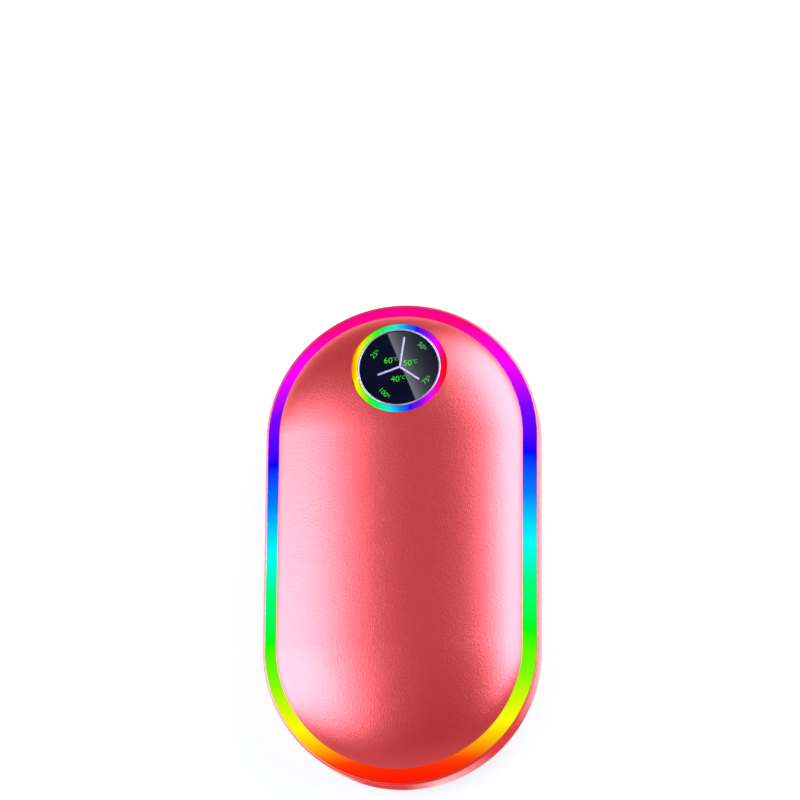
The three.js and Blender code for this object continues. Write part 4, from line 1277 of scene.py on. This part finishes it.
def add_card(name: str, board: str, size: float, place: Matrix) -> tuple[NodeTree, Node]:
    """Adds a black card to the stage that only mirrors see.

    Args:
        name: the card's name.
        board: its material's name.
        size: the length of its edges, before its place stretches them.
        place: its place, turn and stretch.

    Returns:
        Its material's node tree and shader, which get its light.
    """
    card = add_primitive(bpy.ops.mesh.primitive_plane_add, size=size * MM)
    card.name = name
    card.matrix_world = place
    card.visible_camera = card.visible_diffuse = card.visible_shadow = False
    material, tree, shader = new_material(board)
    fill(tree, shader, {"Base Color": linear("#000000"), "Specular IOR Level": 0.0})
    card.data.materials.append(material)
    return tree, shader


@dataclass(frozen=True)
class GlareCard:
    """A small black card, lit on one half, that the display's glass mirrors.

    The light starts at a slanted line across the glass and halves again and
    again away from it.
    """

    seat: DisplaySeat = field(default_factory=DisplaySeat)
    distance: float = 0.3
    turn_degrees: float = 22.1
    start: float = 0.86
    size: float = 60.0
    tint: str = "#F6F4FF"
    radiance: float = 4.4
    half_fade: float = 2.2

    def build(self, camera: Vector) -> None:
        """Adds the card where the camera sees it mirrored in the glass.

        Args:
            camera: the camera's place.
        """
        frame = self.seat.frame
        glass, normal = frame.translation, frame.col[2].to_3d()
        view = (camera - glass).normalized()
        away = 2 * view.dot(normal) * normal - view
        across = (Vector((1, 0, 0)) - away.x * away).normalized()
        facing = Matrix((across, away.cross(across), away)).transposed().to_4x4()
        place = Matrix.Translation(glass + away * self.distance) @ facing
        place = place @ turned(self.turn_degrees) @ moved(self.start, 0, 0)
        tree, shader = add_card("glare_card", "graded_card_light", self.size, place)
        way = along(tree, "X")
        halvings = reckon(tree, "MULTIPLY", way, 1 / (self.half_fade * MM))
        whole = reckon(tree, "MULTIPLY", reckon(tree, "POWER", 0.5, halvings), self.radiance)
        light = reckon(tree, "MULTIPLY", whole, reckon(tree, "GREATER_THAN", way, 0.0))
        fill(tree, shader, {"Emission Color": linear(self.tint), "Emission Strength": light})


@dataclass(frozen=True)
class CoralReflectionCard:
    """A sheet flat on the floor that glows coral in the middle and pale towards two ends.

    Only mirrors see it: it is a painted reflection, which the rear shell mirrors as a deeper red.
    """

    name: str
    centre: tuple[float, float]
    size: tuple[float, float]
    turn_degrees: float
    rise: float
    full: float
    tones: tuple[str, str] = ("#DF4A54", "#FFF2F4")
    radiance: float = 1.2

    def build(self) -> None:
        """Adds the card."""
        place = moved(*self.centre, self.rise) @ turned(self.turn_degrees)
        place = place @ Matrix.Diagonal((*self.size, 1, 1))
        tree, shader = add_card(self.name, f"{self.name}_board", 1, place)
        away = reckon(tree, "ABSOLUTE", along(tree, "Y"))
        fade = carry(tree, away, old=(self.full * MM, MM / 2))
        tone = blend(tree, fade, *self.tones)
        fill(tree, shader, {"Emission Color": tone, "Emission Strength": self.radiance})


@dataclass(frozen=True)
class Studio:
    """Pale floor, soft lamps, a room with a dim ceiling, and the camera."""

    target: tuple[float, float, float] = (0.0, 0.0, 0.0164)
    camera_way: tuple[float, float, float] = (0.1228, -0.1871, 0.9746)
    camera_distance: float = 0.77122
    camera_shift: float = -0.00023
    camera_lens: float = 159.95
    camera_roll_degrees: float = 0.5
    camera_pan_degrees: float = 2.281
    camera_clip: Span = (0.01, 50.0)
    floor_size: float = 8.0
    floor_sink: float = 0.0001
    floor_tone: str = "#948381"
    floor_lift: float = 0.63
    floor_roughness: float = 0.9
    floor_specular: float = 0.1
    ceiling: float = 0.43
    horizon: float = 0.56
    backdrop_height: float = 0.14
    room_tone: str = "#FFF2EE"
    ceiling_tone: str = "#FFC1BD"
    softboxes: tuple[Softbox, ...] = (
        Softbox("left_softbox", 57.8, 184.4, (0.90, 1.64), 10.6),
        Softbox("left_inner_softbox", 36.5, 178.8, (0.37, 0.70), 1.16),
        Softbox("right_softbox", 56.5, 30.1, (1.58, 1.07), 10.8),
        Softbox("near_fill", 61.3, 266.7, (1.41, 0.80), 0.33),
    )
    glare: GlareCard = field(default_factory=GlareCard)
    # Glowing sheets on the floor that only mirrors see: painted reflections that deepen the red of
    # the rear shell's lower edge.
    reflection_cards: tuple[CoralReflectionCard, ...] = (
        CoralReflectionCard("corner_reflection_card", (31.0, -51.0), (36.0, 38.0), -45.0, 0.2, full=0.12),
        CoralReflectionCard("end_reflection_card", (-6.0, -63.0), (22.0, 30.0), -90.0, 0.1, full=0.2),
    )

    def floor(self) -> None:
        """Adds the pale floor, which keeps the object's shadow."""
        spot = (0, 0, -self.floor_sink)
        plane = bpy.ops.mesh.primitive_plane_add
        floor = add_primitive(plane, size=self.floor_size, location=spot)
        floor.name = "pale_floor"
        material, tree, shader = new_material("pale_paper_sweep")
        inputs = {
            "Base Color": linear(self.floor_tone),
            "Roughness": self.floor_roughness,
            "Specular IOR Level": self.floor_specular,
            "Emission Color": linear("#FFFFFF"),
            "Emission Strength": reckon(tree, "MULTIPLY", self.seen_rays(tree), self.floor_lift),
        }
        fill(tree, shader, inputs)
        floor.data.materials.append(material)

    def seen_rays(self, tree: NodeTree) -> NodeSocket:
        """Tells what the camera sees, straight, mirrored or through glass.

        Args:
            tree: the node tree.

        Returns:
            An output of one for such rays and of zero for others.
        """
        rays = add_node(tree, "ShaderNodeLightPath")
        seen = rays.outputs["Is Camera Ray"]
        for name in ("Is Glossy Ray", "Is Transmission Ray"):
            seen = reckon(tree, "MAXIMUM", seen, rays.outputs[name])
        return seen

    def world(self) -> None:
        """Adds a room, white at the horizon, that fades to a dim and warm ceiling."""
        world = bpy.data.worlds.new("studio_room")
        bpy.context.scene.world = world
        world.use_nodes = True
        tree = world.node_tree
        way = add_node(tree, "ShaderNodeTexCoord").outputs["Generated"]
        rise = add_node(tree, "ShaderNodeSeparateXYZ", {0: way}).outputs["Z"]
        level = carry(tree, rise, (self.horizon, self.ceiling))
        backdrop = carry(tree, rise, (1 - self.horizon, 0), (0, self.backdrop_height))
        room = reckon(tree, "ADD", level, backdrop)
        seen = add_node(tree, "ShaderNodeLightPath").outputs["Is Camera Ray"]
        warmth = blend(tree, rise, self.room_tone, self.ceiling_tone)
        inputs = {
            "Strength": reckon(tree, "MAXIMUM", room, seen),
            "Color": blend(tree, seen, warmth, "#FFFFFF"),
        }
        fill(tree, tree.nodes["Background"], inputs)

    def camera(self) -> Object:
        """Adds the camera at the photograph's viewing angle.

        Returns:
            The camera.
        """
        data = bpy.data.cameras.new("camera")
        data.lens = self.camera_lens
        data.clip_start, data.clip_end = self.camera_clip
        camera = bpy.data.objects.new("camera", data)
        bpy.context.scene.collection.objects.link(camera)
        back = Vector(self.camera_way).normalized()
        right = Vector((0, 1, 0)).cross(back).normalized()
        look = Matrix((right, back.cross(right), back)).transposed().to_4x4()
        look = look @ turned(self.camera_roll_degrees) @ turned(self.camera_pan_degrees, "X")
        place = Vector(self.target) + back * self.camera_distance + right * self.camera_shift
        camera.matrix_world = Matrix.Translation(place) @ look
        bpy.context.scene.camera = camera
        return camera

    def build(self) -> None:
        """Builds the stage, the lamps and the camera."""
        bpy.context.scene.view_settings.view_transform = "Standard"
        self.floor()
        self.world()
        for softbox in self.softboxes:
            softbox.build(Vector(self.target))
        for card in self.reflection_cards:
            card.build()
        self.glare.build(self.camera().matrix_world.translation)


def main() -> None:
    """Builds the hand warmer's looks round the frame, then the studio."""
    logging.basicConfig(level=logging.INFO, format="%(name)s: %(message)s")
    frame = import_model()
    housing = Housing()
    socket = ChargingSocket()
    housing.build(socket)
    socket.build(housing)
    Display().build()
    InnerParts().build(frame["nodes"])
    Studio().build()


if __name__ == "__main__":
    main()
